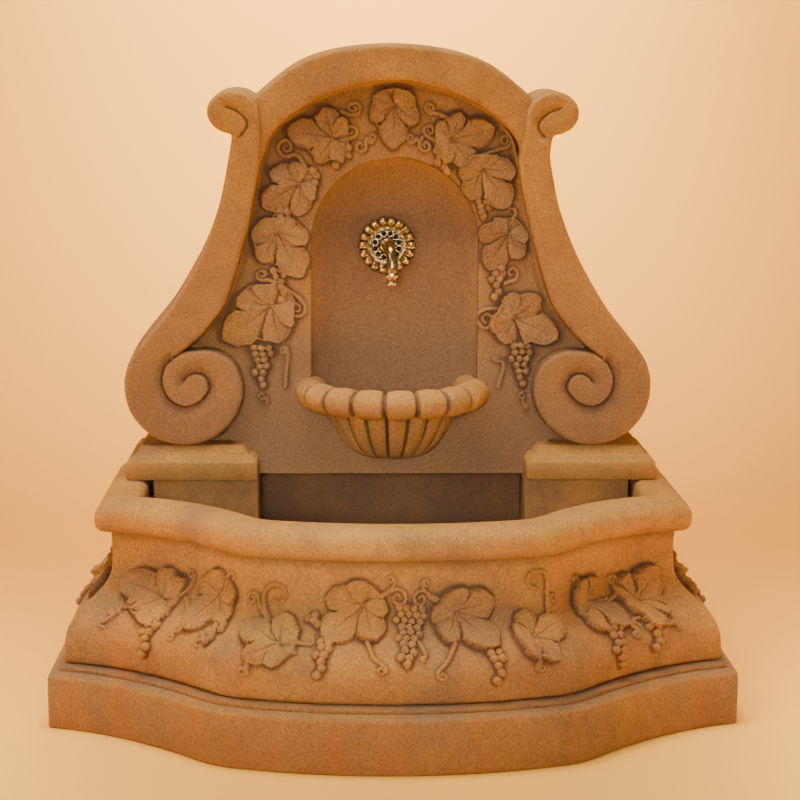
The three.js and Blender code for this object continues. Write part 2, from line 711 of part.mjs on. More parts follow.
function backPanel() {
  const swept = [plate(ribbonOutline(), RIBBON_Y), plate(voluteOutline(), RIBBON_Y)];
  const fixed = [plate(scrollOutline(), RIBBON_Y), capBlock()];
  const voluteGroove = groove(spline(VOLUTE_GROOVE, 22), RIBBON_Y, 7);
  const scrollGroove = groove(spline(SCROLL_GROOVE, 12), RIBBON_Y, 6);
  const bothSides = (solids) => [...solids, ...solids.map((solid) => solid.mirror([1, 0, 0]))];
  const shifted = (solids) => solids.map((solid) => solid.translate([FRAME_SHIFT, 0, 0]));
  const frame = joinAll([fieldSlab(), plate(archOutline(), ARCH_Y), ...bothSides(fixed),
    ...shifted(bothSides(swept))]);
  const grooves = [...shifted(bothSides([voluteGroove])), ...bothSides([scrollGroove])];
  const wall = box(-600, 600, 0, BACK, 300, 1200);
  return joinAll([frame, bowl(), ...vine(PANEL_LEAVES, PANEL_BUNCHES, PANEL_TENDRILS, onField)])
    .subtract(joinAll([niche(), bowlHollow(), ...grooves]))
    .intersect(wall);
}

// Piers

function pier(side) {
  const x1 = WIDTH / 2 - WALL_INSET - PIER_CLEARANCE;
  const x0 = x1 - PIER_WIDTH;
  const [y0, y1] = [PIER_FRONT, BACK - BACK_WALL - 16];
  const a = PIER_ARRIS;
  const corners = [[x0 + a, y0], [x1 - a, y0], [x1, y0 + a], [x1, y1], [x0, y1], [x0, y0 + a]];
  const base = FLOOR_THICKNESS + GAP;
  const loops = [[base, 0], [RIM_TOP - GAP - a, 0], [RIM_TOP - GAP, a]].map(([z, ease]) => {
    const middle = [(x0 + x1) / 2, (y0 + y1) / 2];
    return corners.map(([x, y]) => new THREE.Vector3(
      side * (x - ease * Math.sign(x - middle[0])),
      y - ease * Math.sign(y - middle[1]),
      z,
    ));
  });
  return loft(loops, flatXY);
}

// Brass spout

const ROSETTE_BACK = FIELD_Y + NICHE.depth * 0.87;
const HUB_RISE = 15;

function rosette() {
  const stem = NICHE.depth * 0.1;
  const profile = [[-stem, 0.3, 0], [0, 0.3, 0], [0, 0.96, 0], [6, 1, 1], [11, 0.84, 1],
    [8, 0.6, 0], [HUB_RISE, 0.24, 0]];
  const loops = profile.map(([rise, share, lobed]) => {
    return ring(ROSETTE_LOBES * 2, (angle) => {
      return ROSETTE_RADIUS * share * (1 - 0.05 * lobed * valley(angle, ROSETTE_LOBES));
    }).map(([x, z]) => new THREE.Vector3(SPOUT_X + x, ROSETTE_BACK - rise, SPOUT_Z + z));
  });
  return loft(loops, flatXZ);
}

function turned(profile, x, y) {
  const points = profile.map(([radius, z]) => new THREE.Vector2(radius, z));
  const place = new THREE.Matrix4().makeTranslation(x, y, 0)
    .multiply(new THREE.Matrix4().makeRotationX(Math.PI / 2));
  return fromGeometry(new THREE.LatheGeometry(points, 14), place);
}

function spout() {
  const root = ROSETTE_BACK - HUB_RISE - 2 * GAP;
  const tip = new THREE.Vector3(SPOUT_X + 7, root - 62, NOZZLE_BOTTOM + 14);
  const path = new THREE.CatmullRomCurve3([
    new THREE.Vector3(SPOUT_X, root, SPOUT_Z), new THREE.Vector3(SPOUT_X, root - 12, SPOUT_Z),
    new THREE.Vector3(SPOUT_X + 2, root - 34, SPOUT_Z + 3),
    new THREE.Vector3(SPOUT_X + 5, root - 54, SPOUT_Z - 6), new THREE.Vector3(tip.x, tip.y, SPOUT_Z - 26), tip,
  ]);
  const section = new THREE.Shape().absarc(0, 0, PIPE_RADIUS, 0, 2 * Math.PI);
  const pipe = new THREE.ExtrudeGeometry(section, { extrudePath: path, steps: 8, curveSegments: 8 });
  const [z0, z1] = [NOZZLE_BOTTOM, NOZZLE_BOTTOM + 14];
  const nozzle = turned([[NOZZLE_BORE, z0], [NOZZLE_RADIUS, z0], [NOZZLE_RADIUS, z1], [COLLAR_RADIUS, z1],
    [COLLAR_RADIUS, z1 + 4], [NOZZLE_RADIUS + 0.5, z1 + 6], [0, z1 + 6], [0, z1 - 2], [NOZZLE_BORE, z1 - 2],
    [NOZZLE_BORE, z0]], tip.x, tip.y);
  return fromGeometry(pipe).add(nozzle);
}

// Assembly

const stone = (color) => new THREE.MeshStandardMaterial({ color, roughness: 0.9, metalness: 0 });
const brass = () => new THREE.MeshStandardMaterial({ color: 0xa07a3c, roughness: 0.35, metalness: 1 });

const fountain = new THREE.Group();
fountain.add(
  toMesh('basin', basin(), stone(0xb5743a)),
  toMesh('back_panel', backPanel(), stone(0xb07038)),
  toMesh('pier_left', pier(-1), stone(0x9c6532)),
  toMesh('pier_right', pier(1), stone(0x9c6532)),
  toMesh('spout_rosette', rosette(), brass()),
  toMesh('spout', spout(), brass()),
);

export default fountain;
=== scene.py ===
import math

import bpy
import bmesh
import numpy as np
from mathutils import Matrix, Vector
from mathutils.geometry import delaunay_2d_cdt


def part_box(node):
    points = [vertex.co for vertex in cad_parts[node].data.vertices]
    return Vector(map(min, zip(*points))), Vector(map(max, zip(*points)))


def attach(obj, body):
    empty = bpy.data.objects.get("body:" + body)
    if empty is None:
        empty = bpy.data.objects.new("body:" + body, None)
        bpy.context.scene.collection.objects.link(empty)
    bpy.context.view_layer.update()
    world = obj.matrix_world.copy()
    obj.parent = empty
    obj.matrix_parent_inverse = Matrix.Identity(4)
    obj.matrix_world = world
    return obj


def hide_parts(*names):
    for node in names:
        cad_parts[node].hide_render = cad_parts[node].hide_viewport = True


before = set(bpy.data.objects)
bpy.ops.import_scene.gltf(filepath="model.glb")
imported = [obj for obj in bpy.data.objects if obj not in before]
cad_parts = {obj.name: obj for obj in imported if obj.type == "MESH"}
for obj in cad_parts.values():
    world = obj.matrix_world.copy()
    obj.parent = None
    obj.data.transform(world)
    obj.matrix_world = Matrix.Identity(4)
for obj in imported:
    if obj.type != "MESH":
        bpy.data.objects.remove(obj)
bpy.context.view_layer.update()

MM = 0.001
rng = np.random.default_rng(11)


def node_box(node):
    low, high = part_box(node)
    return np.array(low) / MM, np.array(high) / MM


basin_low, basin_high = node_box("basin")
panel_low, panel_high = node_box("back_panel")

FRONT, BACK = basin_low[1], basin_high[1]
HALF_WIDTH = basin_high[0]
RIM_TOP = basin_high[2]
PANEL_FOOT = panel_low[2]

# Basin plan: a bowed front, a soft corner, a hollow wing and an outer corner
BOW_RADIUS = 870
BOW_HALF = 288
CORNER_SETBACK = 218
WING_SLOPE_IN = 1.0
WING_SLOPE_OUT = 0.25
SOFTENINGS = ((1, 0.1), (2, 0.014))
RELIEF_INSET = 62
FLOOR_THICKNESS = 55
BACK_WALL = 38
WALL_INSET = 144

# Height and inset of the body, from its foot to the rim
BODY_PROFILE = np.array([
    (102, 31), (106, 28), (112, 26.5), (122, 26), (136, 26.5), (148, 28), (160, 32), (172, 39),
    (184, 49), (194, 61), (205, 74), (217, 85), (230, 93), (245, 97.5), (262, 99), (285, 99), (308, 98),
])

# Panel depths and frame
FIELD_Y = 192
RIBBON_Y = 152
ARCH_Y = 160
DRAFT = 5
ARCH_TOP = panel_high[2] - DRAFT
ARCH_BAND = 59
ARCH_INNER = ((215, 910), (203, 942), (158, 984), (90, 1017), (0, ARCH_TOP - ARCH_BAND))
FRAME_ARRIS = 8.0
COVE = 13
CAP_INNER, CAP_OUTER, CAP_FRONT = 230, 452.5, 136
FRAME_SHIFT = -6
VOLUTE = np.array([344.0, 530.0])
VOLUTE_GROOVE = ((353, 571), (371, 563), (382, 546), (385, 525), (377, 502), (362, 489), (343, 485),
                 (322, 493), (306, 513), (309, 530), (318, 539), (332, 541), (343, 535), (347, 529))
GROOVE_REACH = 18
SCROLL_GROOVE = ((253, 944), (246, 951), (243, 962), (250, 973), (261.5, 982), (268, 985), (277, 988))
SCROLL = np.array([266.0, 981.0])
SCROLL_REACH = (43, 36)

# Niche, bowl and spout
NICHE_X, NICHE_HALF, NICHE_SPRING, NICHE_DEPTH = 4, 142, 763, 62
BOWL_RIM_Z, BOWL_RADIUS, BOWL_ROLL, BOWL_ROLL_HALF = 505, 140, 28, 25
BOWL_LOBES, LOBE_TURN = 18, math.radians(4)
NICHE_FOOT = 487
SPOUT_X, SPOUT_Z = -8, 753
NOZZLE_FOOT = 692
ROSETTE_LOBES = 18
FILIGREE_LOOPS, FILIGREE_RADIUS = 12, 21.5
ROSETTE_Y = FIELD_Y + 0.87 * NICHE_DEPTH

# Relief
LEAF_RISE = 7.2
TOOTH_PITCH = 4.6
PALM_SHARE = 0.52
SLIT_DEPTH = 9.0
GRAPE_RADIUS = 6.4
TENDRIL_RADIUS = 3.8
RELIEF_STEP = 1.25

# A leaf is its stem joint and the tips of its middle and two side lobes; a bunch is its
# top, its tip and its grapes; a tendril is its tail, the middle of its curl, the curl's
# radius, its turns and the angle at which the tail joins it
PANEL_LEAVES = (
    (2, 995, 1, 920, -37, 968, 42, 964), (-101, 938, -178, 951, -130, 898, -116, 989),
    (-156, 862, -220, 821, -159, 807, -207, 882), (-198, 778, -152, 705, -142, 767, -223, 727),
    (-205, 654, -290, 593, -194, 588, -268, 664), (98, 935, 172, 956, 114, 982, 137, 892),
    (151, 886, 199, 823, 210, 884, 129, 835), (197, 779, 162, 717, 219, 735, 145, 776),
    (208, 634, 287, 600, 255, 668, 193, 587),
)
PANEL_BUNCHES = (
    (-86, 925, -96, 893, 8), (-136, 883, -128, 864, 3), (-184, 815, -189, 795, 5),
    (-196, 715, -186, 666, 9), (-224, 581, -225, 517, 13), (81, 919, 90, 882, 7),
    (153, 832, 152, 806, 5), (180, 720, 179, 670, 8), (222, 585, 223, 519, 14),
)
PANEL_TENDRILS = (
    (-146, 889, -180, 923, 16, -1.3, -70), (-86, 981, -66, 988, 12, 1.4, -90),
    (-86, 933, -71, 950, 11, 1.2, -60), (-44, 937, -54, 925, 11, -1.2, 40),
    (-44, 928, -36, 939, 8, 1.2, 200), (5, 1000, -4, 1016, 8, 0.5, 0),
    (106, 956, 63, 989, 10, -1.4, -80), (81, 931, 63, 951, 10, -1.2, -120),
    (50, 939, 55, 926, 11, 1.2, 140), (47, 927, 31, 939, 8, -1.2, -20),
    (147, 906, 190, 934, 11, 1.3, -80), (193, 692, 204, 711, 12, 0.9, -60),
    (197, 644, 161, 630, 17, 1.4, 120), (184, 512, 182, 561, 6, -1, -60),
    (234, 479, 224, 498, 6, 1, -40), (-202, 695, -221, 707, 10, -1.2, -90),
    (-181, 683, -164, 649, 17, -1.4, 50), (-184, 515, -185, 576, 7, 1, 0),
    (-213, 486, -223, 498, 6, -1, -60), (-197, 817, -197, 800, 8, 0.45, 120),
    (198, 788, 201, 815, 10, 0.5, -40),
)
BASIN_LEAVES = (
    (-57, 165, -115, 101, -36, 101, -120, 176), (-179, 92, -246, 125, -224, 63, -185, 147),
    (93, 152, 148, 87, 160, 169, 73, 98), (204, 98, 268, 124, 209, 148, 234, 61),
    (-431, 129, -525, 159, -464, 100, -449, 182), (-319, 162, -354, 88, -287, 112, -365, 178),
    (347, 140, 399, 85, 390, 170, 340, 81), (445, 115, 521, 172, 484, 94, 453, 169),
)
BASIN_BUNCHES = (
    (21, 159, 11, 64, 25), (-139, 143, -130, 128, 4), (-111, 97, -112, 48, 9),
    (140, 79, 142, 37, 6), (-421, 103, -412, 37, 11), (-291, 115, -297, 78, 6),
    (364, 83, 359, 28, 10), (446, 92, 435, 39, 9),
)
BASIN_TENDRILS = (
    (-212, 135, -203, 172, 24, -0.9, 200), (-209, 134, -246, 166, 10, 1.2, 20),
    (-40, 176, -11, 204, 7, 1.2, -20), (-40, 176, 0, 175, 15, -1.2, 110),
    (-49, 106, -24, 56, 7, -1.1, 60), (-218, 64, -224, 44, 7, 1.1, 0),
    (-152, 78, -133, 112, 5, 0, 0), (76, 164, 47, 198, 7, -1.2, 200),
    (76, 164, 38, 173, 13, 1.2, 70), (85, 97, 62, 47, 7, 1.1, 140), (30, 99, 34, 71, 4, 1, 90),
    (249, 136, 237, 192, 22, 0.95, 0), (247, 137, 270, 160, 10, -1.1, 180),
    (200, 71, 205, 49, 6, 1.2, 120), (-419, 119, -394, 178, 8, 1.1, -20),
    (-390, 139, -371, 72, 8, 1.2, 90), (-477, 110, -493, 94, 7, 1.2, 100),
    (-502, 92, -493, 66, 3, 0, 0), (-316, 89, -316, 65, 4, 0, 0),
    (-310, 171, -295, 190, 11, -0.6, 180), (395, 130, 423, 160, 9, 1.1, 0),
    (428, 104, 417, 75, 6, 0, 0), (405, 104, 404, 67, 8, -1.2, 40),
    (485, 63, 469, 78, 7, -1.2, -40), (346, 142, 335, 176, 8, 0.5, 0),
)
# The same on each side face, measured along the wall from the middle of the front
SIDE_LEAVES = ((650, 150, 590, 108, 600, 186, 655, 98), (748, 128, 812, 166, 738, 182, 800, 92))
SIDE_BUNCHES = ((698, 118, 694, 62, 9),)
SIDE_TENDRILS = ((700, 140, 694, 176, 13, 1.2, -60),)


# Small helpers
def soft_step(x):
    x = np.clip(x, 0, 1)
    return x * x * (3 - 2 * x)


def unit(v):
    return v / np.linalg.norm(v, axis=-1, keepdims=True)


def mirrored(half):
    """A symmetric row of points from its first half and its middle."""
    return list(half) + [(-x, z) for x, z in half[-2::-1]]


def smooth_curve(points, spacing):
    """Points at an even spacing on a smooth curve through the given ones."""
    p = np.asarray(points, float)
    ends = np.vstack([2 * p[0] - p[1], p, 2 * p[-1] - p[-2]])
    rows = []
    for a, b, c, d in zip(ends, ends[1:], ends[2:], ends[3:]):
        t = np.linspace(0, 1, 24, endpoint=False)[:, None]
        rows.append(0.5 * (2 * b + (c - a) * t + (2 * a - 5 * b + 4 * c - d) * t ** 2
                           + (3 * b - a - 3 * c + d) * t ** 3))
    return resample(np.vstack(rows + [p[-1:]]), spacing)


def resample(points, spacing):
    steps = np.linalg.norm(np.diff(points, axis=0), axis=1)
    length = np.concatenate([[0], np.cumsum(steps)])
    at = np.linspace(0, length[-1], max(2, int(round(length[-1] / spacing)) + 1))
    return np.stack([np.interp(at, length, points[:, k]) for k in range(points.shape[1])], axis=1)


def value_noise(x, z, size, seed):
    """Smooth noise from -1 to 1 with lumps of about the given size."""
    table = np.random.default_rng(seed).uniform(-1, 1, (64, 64))
    gx, gz = x / size, z / size
    ix, iz = np.floor(gx).astype(int), np.floor(gz).astype(int)
    fx, fz = soft_step(gx - ix), soft_step(gz - iz)

    def corner(dx, dz):
        return table[(ix + dx) % 64, (iz + dz) % 64]

    low = corner(0, 0) * (1 - fx) + corner(1, 0) * fx
    high = corner(0, 1) * (1 - fx) + corner(1, 1) * fx
    return low * (1 - fz) + high * fz


def make_piece(name, points, faces, node, material, hollow=None, sharp=math.radians(50)):
    """A finished piece from points in millimetres and faces that point out."""
    mesh = bpy.data.meshes.new(name)
    mesh.from_pydata((np.asarray(points) * MM).tolist(), [], faces)
    # The hollow attribute holds painted shade in creases and recesses, and a painted highlight where it is
    # negative
    if hollow is not None:
        shade = mesh.attributes.new("hollow", "FLOAT", "POINT")
        shade.data.foreach_set("value", hollow.astype(np.float32))
    piece = bpy.data.objects.new(name, mesh)
    bpy.context.collection.objects.link(piece)
    face_outwards(piece)
    return finish_piece(piece, node, material, sharp)


def face_outwards(piece):
    shape = bmesh.new()
    shape.from_mesh(piece.data)
    bmesh.ops.remove_doubles(shape, verts=shape.verts, dist=0.01 * MM)
    bmesh.ops.dissolve_degenerate(shape, edges=shape.edges, dist=0.001 * MM)
    bmesh.ops.recalc_face_normals(shape, faces=shape.faces)
    if shape.calc_volume(signed=True) < 0:
        bmesh.ops.reverse_faces(shape, faces=shape.faces)
    shape.to_mesh(piece.data)
    shape.free()


def finish_piece(piece, node, material, sharp):
    select_only(piece)
    bpy.ops.object.shade_smooth_by_angle(angle=sharp)
    piece.data.materials.clear()
    piece.data.materials.append(material)
    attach(piece, "root")
    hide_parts(node)
    return piece


def select_only(piece):
    bpy.ops.object.select_all(action="DESELECT")
    piece.select_set(True)
    bpy.context.view_layer.objects.active = piece


def grid_faces(rows, columns):
    i, j = np.meshgrid(np.arange(rows - 1), np.arange(columns - 1), indexing="ij")
    a = (i * columns + j).ravel()
    return np.stack([a, a + 1, a + columns + 1, a + columns], axis=1).tolist()


def border(rows, columns):
    """Indices round the edge of a grid, in order."""
    return ([j for j in range(columns)] + [i * columns + columns - 1 for i in range(1, rows)]
            + [(rows - 1) * columns + j for j in range(columns - 2, -1, -1)]
            + [i * columns for i in range(rows - 2, 0, -1)])


def loft_faces(count, loops):
    faces = []
    for k in range(loops - 1):
        for i in range(count):
            j = (i + 1) % count
            faces.append((k * count + i, k * count + j, (k + 1) * count + j, (k + 1) * count + i))
    return faces


def lofted(loops):
    """Points and faces of a closed body through loops of equal length."""
    count = len(loops[0])
    points = np.vstack(loops)
    faces = loft_faces(count, len(loops))
    last = (len(loops) - 1) * count
    middle = len(points)
    points = np.vstack([points, loops[0].mean(axis=0), loops[-1].mean(axis=0)])
    faces += [(middle, (i + 1) % count, i) for i in range(count)]
    faces += [(middle + 1, last + i, last + (i + 1) % count) for i in range(count)]
    return points, faces


# Basin plan, as in the solids
KINK = np.array([BOW_HALF, FRONT + BOW_RADIUS - math.sqrt(BOW_RADIUS ** 2 - BOW_HALF ** 2)])
BOW_CENTRE = np.array([0, FRONT + BOW_RADIUS])
CORNER = np.array([HALF_WIDTH, FRONT + CORNER_SETBACK])
WING = CORNER - KINK
WING_SCALE = WING[1] / (WING[0] * (WING_SLOPE_IN + WING_SLOPE_OUT) / 2)


def wing_slope(s):
    return WING_SCALE * (WING_SLOPE_IN + (WING_SLOPE_OUT - WING_SLOPE_IN) * s)


def inward(slope):
    slope = np.asarray(slope, float)
    return unit(np.stack([-slope, np.ones_like(slope)], axis=-1))


def wing_base(s):
    rise = WING_SLOPE_IN * s - (WING_SLOPE_IN - WING_SLOPE_OUT) * s * s / 2
    return KINK + np.stack([WING[0] * s, WING[0] * WING_SCALE * rise], axis=-1)


def kink_at(inset):
    a, b = unit(BOW_CENTRE - KINK), inward(wing_slope(0.0))
    return KINK + inset[..., None] * (a + b) / (1 + a @ b)


def corner_at(inset):
    slope = wing_slope(1.0)
    return CORNER + inset[..., None] * np.array([-1, math.hypot(1, slope) - slope])


def raw_plan(p, inset):
    kink, corner = kink_at(inset), corner_at(inset)
    radius = np.linalg.norm(kink - BOW_CENTRE, axis=-1)
    angle = np.minimum(p, 1) * np.arctan2(kink[..., 0], BOW_CENTRE[1] - kink[..., 1])
    bow = np.stack([radius * np.sin(angle), BOW_CENTRE[1] - radius * np.cos(angle)], axis=-1)
    s = np.clip(p - 1, 0, 1)
    depth = inset[..., None]
    near = kink - wing_base(np.zeros_like(s)) - depth * inward(wing_slope(0.0))
    far = corner - wing_base(np.ones_like(s)) - depth * inward(wing_slope(1.0))
    wing = wing_base(s) + depth * inward(wing_slope(s)) + near * (1 - s[..., None]) + far * s[..., None]
    q = np.clip(p - 2, 0, 1)
    side = np.stack([corner[..., 0], corner[..., 1] + (BACK - corner[..., 1]) * q], axis=-1)
    return np.where((p <= 1)[..., None], bow, np.where((p <= 2)[..., None], wing, side))


def plan(p, inset):
    """Where the wall stands at an inset: p runs to 1 over the bow, to 2 over the wing, to 3 over the side."""
    p, inset = np.broadcast_arrays(np.asarray(p, float), np.asarray(inset, float))
    reach = np.abs(p)
    point = raw_plan(reach, inset)
    for turn, half in SOFTENINGS:
        t = ((reach - turn + half) / (2 * half))[..., None]
        before, at, after = (raw_plan(np.full_like(reach, turn + k * half), inset) for k in (-1, 0, 1))
        soft = (1 - t) ** 2 * before + 2 * t * (1 - t) * at + t * t * after
        point = np.where((np.abs(reach - turn) < half)[..., None], soft, point)
    point[..., 0] *= np.where(p < 0, -1, 1)
    return point


profile_curve = smooth_curve(BODY_PROFILE, 1.0)
profile_length = np.concatenate([[0], np.cumsum(np.linalg.norm(np.diff(profile_curve, axis=0), axis=1))])
wall_steps = np.linspace(0, 3, 1201)
wall_points = plan(wall_steps, RELIEF_INSET)
wall_length = np.concatenate([[0], np.cumsum(np.linalg.norm(np.diff(wall_points, axis=0), axis=1))])


def on_body(u, v, h):
    """A point of the body: u along the wall, v up the body, h out of it."""
    z = np.interp(v, profile_length, profile_curve[:, 0])
    inset = np.interp(v, profile_length, profile_curve[:, 1])
    above, below = (np.interp(v + step, profile_length, profile_curve[:, 1]) for step in (1, -1))
    lean = np.clip((above - below) / 2, -0.9, 0.9)
    out = np.sqrt(1 - lean ** 2)
    p = np.interp(np.abs(u), wall_length, wall_steps) * np.where(u < 0, -1, 1)
    xy = plan(p, inset - h * out)
    return np.dstack([xy, z + h * lean])


# Vine relief
def near(x, z, low, high, margin):
    return ((x > low[0] - margin) & (x < high[0] + margin) & (z > low[1] - margin) & (z < high[1] + margin))


def leaf_lobes(leaf):
    """Reach and relative width of each lobe: the middle one, two side ones and two small ones at the stem."""
    joint, tips = np.array(leaf[:2], float), np.array(leaf[2:], float).reshape(3, 2)
    middle = tips[0] - joint
    lobes = [(middle, 0.37), (tips[1] - joint, 0.40), (tips[2] - joint, 0.40)]
    for side_tip in tips[1:]:
        back = unit(unit(side_tip - joint) - 0.85 * unit(middle))
        lobes.append((back * np.linalg.norm(middle) * 0.5, 0.5))
    return joint, middle, lobes


def leaf_height(x, z, leaf):
    joint, middle, lobes = leaf_lobes(leaf)
    size = np.linalg.norm(middle)
    usual = np.mean([np.linalg.norm(reach) for reach, _ in lobes[:3]])
    size = min(size, 1.3 * usual)
    depths, cushions, veins, beads = [], [], [], []
    for reach, share in lobes:
        length = np.linalg.norm(reach)
        ax, az = reach / length
        along = (x - joint[0]) * ax + (z - joint[1]) * az
        across = (z - joint[1]) * ax - (x - joint[0]) * az
        s = np.clip(along / length, 0.0, 1.0)
        width = share * min(length, 1.15 * usual) * np.sin(math.pi * s ** 1.3) ** 0.62
        overshoot = np.maximum(along - length, 0) + np.maximum(-along, 0)
        around = np.arctan2(across, along - 0.6 * length)
        teeth = max(8, round(2.5 * length / TOOTH_PITCH))
        bead = np.abs(np.cos(around * teeth / 2))
        depths.append(width - np.abs(across) - overshoot + 2.3 * (bead - 0.6))
        beads.append(bead)
        fold = np.clip(np.abs(across) / (width + 1e-6), 0, 1)
        belly = np.sin(math.pi * np.clip(0.2 + fold * 0.85, 0, 1)) * soft_step(s / 0.25)
        lean = 3.2 * np.clip(across / (width + 1e-6), -1, 1) * (1 if az >= 0 else -1)
        cushions.append(3.0 * belly + lean + 2.5 * (1 - s))
        main = np.exp(-(across / 1.5) ** 2) * (s > 0.02) * soft_step((0.85 - s) / 0.5)
        chevron = np.mod(along - 0.9 * np.abs(across), 9.5) - 4.75
        side = np.exp(-(chevron / 1.3) ** 2) * soft_step(np.abs(across) / 3) * soft_step((0.97 - s) / 0.3)
        veins.append((1.2 * main + 0.8 * side) * (1 if len(veins) < 3 else 0.1))
    depths = np.stack(depths)
    best = np.argmax(depths, axis=0)
    ordered = np.sort(depths, axis=0)
    main_lobes = np.sort(depths[:3], axis=0)
    palm_gap = np.hypot(x - joint[0] - 0.14 * middle[0], z - joint[1] - 0.14 * middle[1])
    palm = PALM_SHARE * size - palm_gap
    inside = np.maximum(ordered[-1], palm)
    gap = main_lobes[-1] - main_lobes[-2] + np.maximum(ordered[-1] - main_lobes[-1], 0)
    reach = palm_gap / size
    drop = soft_step((reach - 0.33) / 0.08) * (0.35 + 0.65 * soft_step((0.66 - reach) / 0.12))
    slit = np.exp(-(gap / (1.2 + 2.0 * soft_step((reach - 0.33) / 0.2))) ** 2) * drop

    def take(values):
        return np.take_along_axis(np.stack(values), best[None], axis=0)[0]

    lip = (1.2 + 3.2 * take(beads)) * np.exp(-((inside - 2.5) / 1.6) ** 2)
    sag = 2.8 * np.exp(-(palm_gap / (0.22 * size)) ** 2)
    body = LEAF_RISE - 1.5 + take(cushions) + lip - take(veins) - sag - SLIT_DEPTH * slit
    edge = soft_step((inside + 0.6) / 3.0)
    return edge * np.maximum(body, 0.5)


def bunch_grapes(bunch):
    """Middle, radius and lift of each grape, in staggered rows that narrow towards the tip."""
    x0, z0, x1, z1, total = bunch
    axis = np.array([x1 - x0, z1 - z0], float)
    across = unit(np.array([-axis[1], axis[0]]))
    rows = max(2, int(round(np.linalg.norm(axis) / 10.4)) + 1)
    weights = 1.25 - np.arange(rows) / rows
    counts = np.maximum(1, np.round(total * 1.1 * weights / weights.sum())).astype(int)
    grapes, stagger = [], 0.0
    for row, count in enumerate(counts):
        base = np.array([x0, z0]) + axis * row / (rows - 1)
        same = row > 0 and count == counts[row - 1]
        stagger = (0.5 if stagger <= 0 else -0.5) if same else 0.0
        for k in range(count):
            off = k - (count - 1) / 2 + 0.5 * stagger
            jitter = rng.uniform(-0.9, 0.9, 2)
            crown = 1 - (2 * off / max(count, 2)) ** 2
            middle = base + across * off * 12.2 + jitter
            grapes.append((*middle, GRAPE_RADIUS * rng.uniform(0.94, 1.08), 2.4 * crown))
    return grapes


def tendril_path(tendril):
    x0, z0, cx, cz, radius, turns, entry = tendril
    tail, curl = np.array([x0, z0], float), np.array([cx, cz], float)
    if turns == 0:
        side = np.array([z0 - cz, cx - x0]) * 0.3
        bends = [tail * 0.67 + curl * 0.33 + side, tail * 0.33 + curl * 0.67 - side]
        return smooth_curve([tail, *bends, curl], 1.2)
    start, sweep = math.radians(entry), turns * 2 * math.pi
    share = np.linspace(0, 1, max(12, int(abs(turns) * 30)))
    angle = start + sweep * share
    reach = radius * (1 - 0.72 * share)
    spiral = curl + np.stack([reach * np.cos(angle), reach * np.sin(angle)], axis=1)
    heading = np.array([-math.sin(start), math.cos(start)]) * math.copysign(1, turns)
    bend = spiral[0] - 0.5 * np.linalg.norm(tail - spiral[0]) * heading
    t = np.linspace(0, 1, 24, endpoint=False)[:, None]
    lead = (1 - t) ** 2 * tail + 2 * t * (1 - t) * bend + t * t * spiral[0]
    return resample(np.vstack([lead, spiral]), 1.2)


def raise_tendril(x, z, height, tendril):
    path = tendril_path(tendril)
    here = near(x, z, path.min(axis=0), path.max(axis=0), TENDRIL_RADIUS + 1)
    if not here.any():
        return
    px, pz = x[here], z[here]
    gaps = (px[:, None] - path[:, 0]) ** 2 + (pz[:, None] - path[:, 1]) ** 2
    closest = np.argmin(gaps, axis=1)
    gap = gaps[np.arange(len(px)), closest]
    share = closest / len(path)
    radius = TENDRIL_RADIUS * (1 - 0.35 * share)
    tube = np.sqrt(np.clip(radius ** 2 - gap, 0, None)) * 1.15
    tube += 1.2 * soft_step((radius - np.sqrt(gap)) / 1.0)
    height[here] = np.maximum(height[here], tube)


def vine_height(x, z, leaves, bunches, tendrils):
    """How far the vine stands out of its ground at the points given."""
    wx = x + 1.6 * value_noise(x, z, 14, 3) + 0.5 * value_noise(x, z, 4, 5)
    wz = z + 1.6 * value_noise(x, z, 14, 7) + 0.5 * value_noise(x, z, 4, 9)
    height = np.zeros_like(x)
    for tendril in tendrils:
        raise_tendril(wx, wz, height, tendril)
    for leaf in leaves:
        tips = np.array(leaf, float).reshape(4, 2)
        here = near(wx, wz, tips.min(axis=0), tips.max(axis=0), 26)
        if here.any():
            height[here] = np.maximum(height[here], leaf_height(wx[here], wz[here], leaf))
    for bunch in bunches:
        for gx, gz, radius, lift in bunch_grapes(bunch):
            here = near(x, z, (gx, gz), (gx, gz), radius)
            gap = (x[here] - gx) ** 2 + (z[here] - gz) ** 2
            dome = np.sqrt(np.clip(radius ** 2 - gap, 0, None))
            rise = np.where(gap < radius ** 2, dome + 0.5 + lift, 0)
            height[here] = np.maximum(height[here], rise)
    return height


def blurred(height, passes):
    for _ in range(passes):
        padded = np.pad(height, 1, mode="edge")
        height = (padded[:-2, 1:-1] + padded[2:, 1:-1] + padded[1:-1, :-2] + padded[1:-1, 2:]
                  + 2 * padded[1:-1, 1:-1]) / 6
    return height


def painted_relief_shade(height):
    """Painted shade: 1 in the creases beside what stands out, -1 on its crests, where it gives a painted
    highlight.
    """
    close = blurred(height, 22)
    wide = blurred(close, 70)
    return np.clip((close - height) / 3.6 + 0.5 * np.maximum(wide - height, 0) / 4.0, -1, 1)


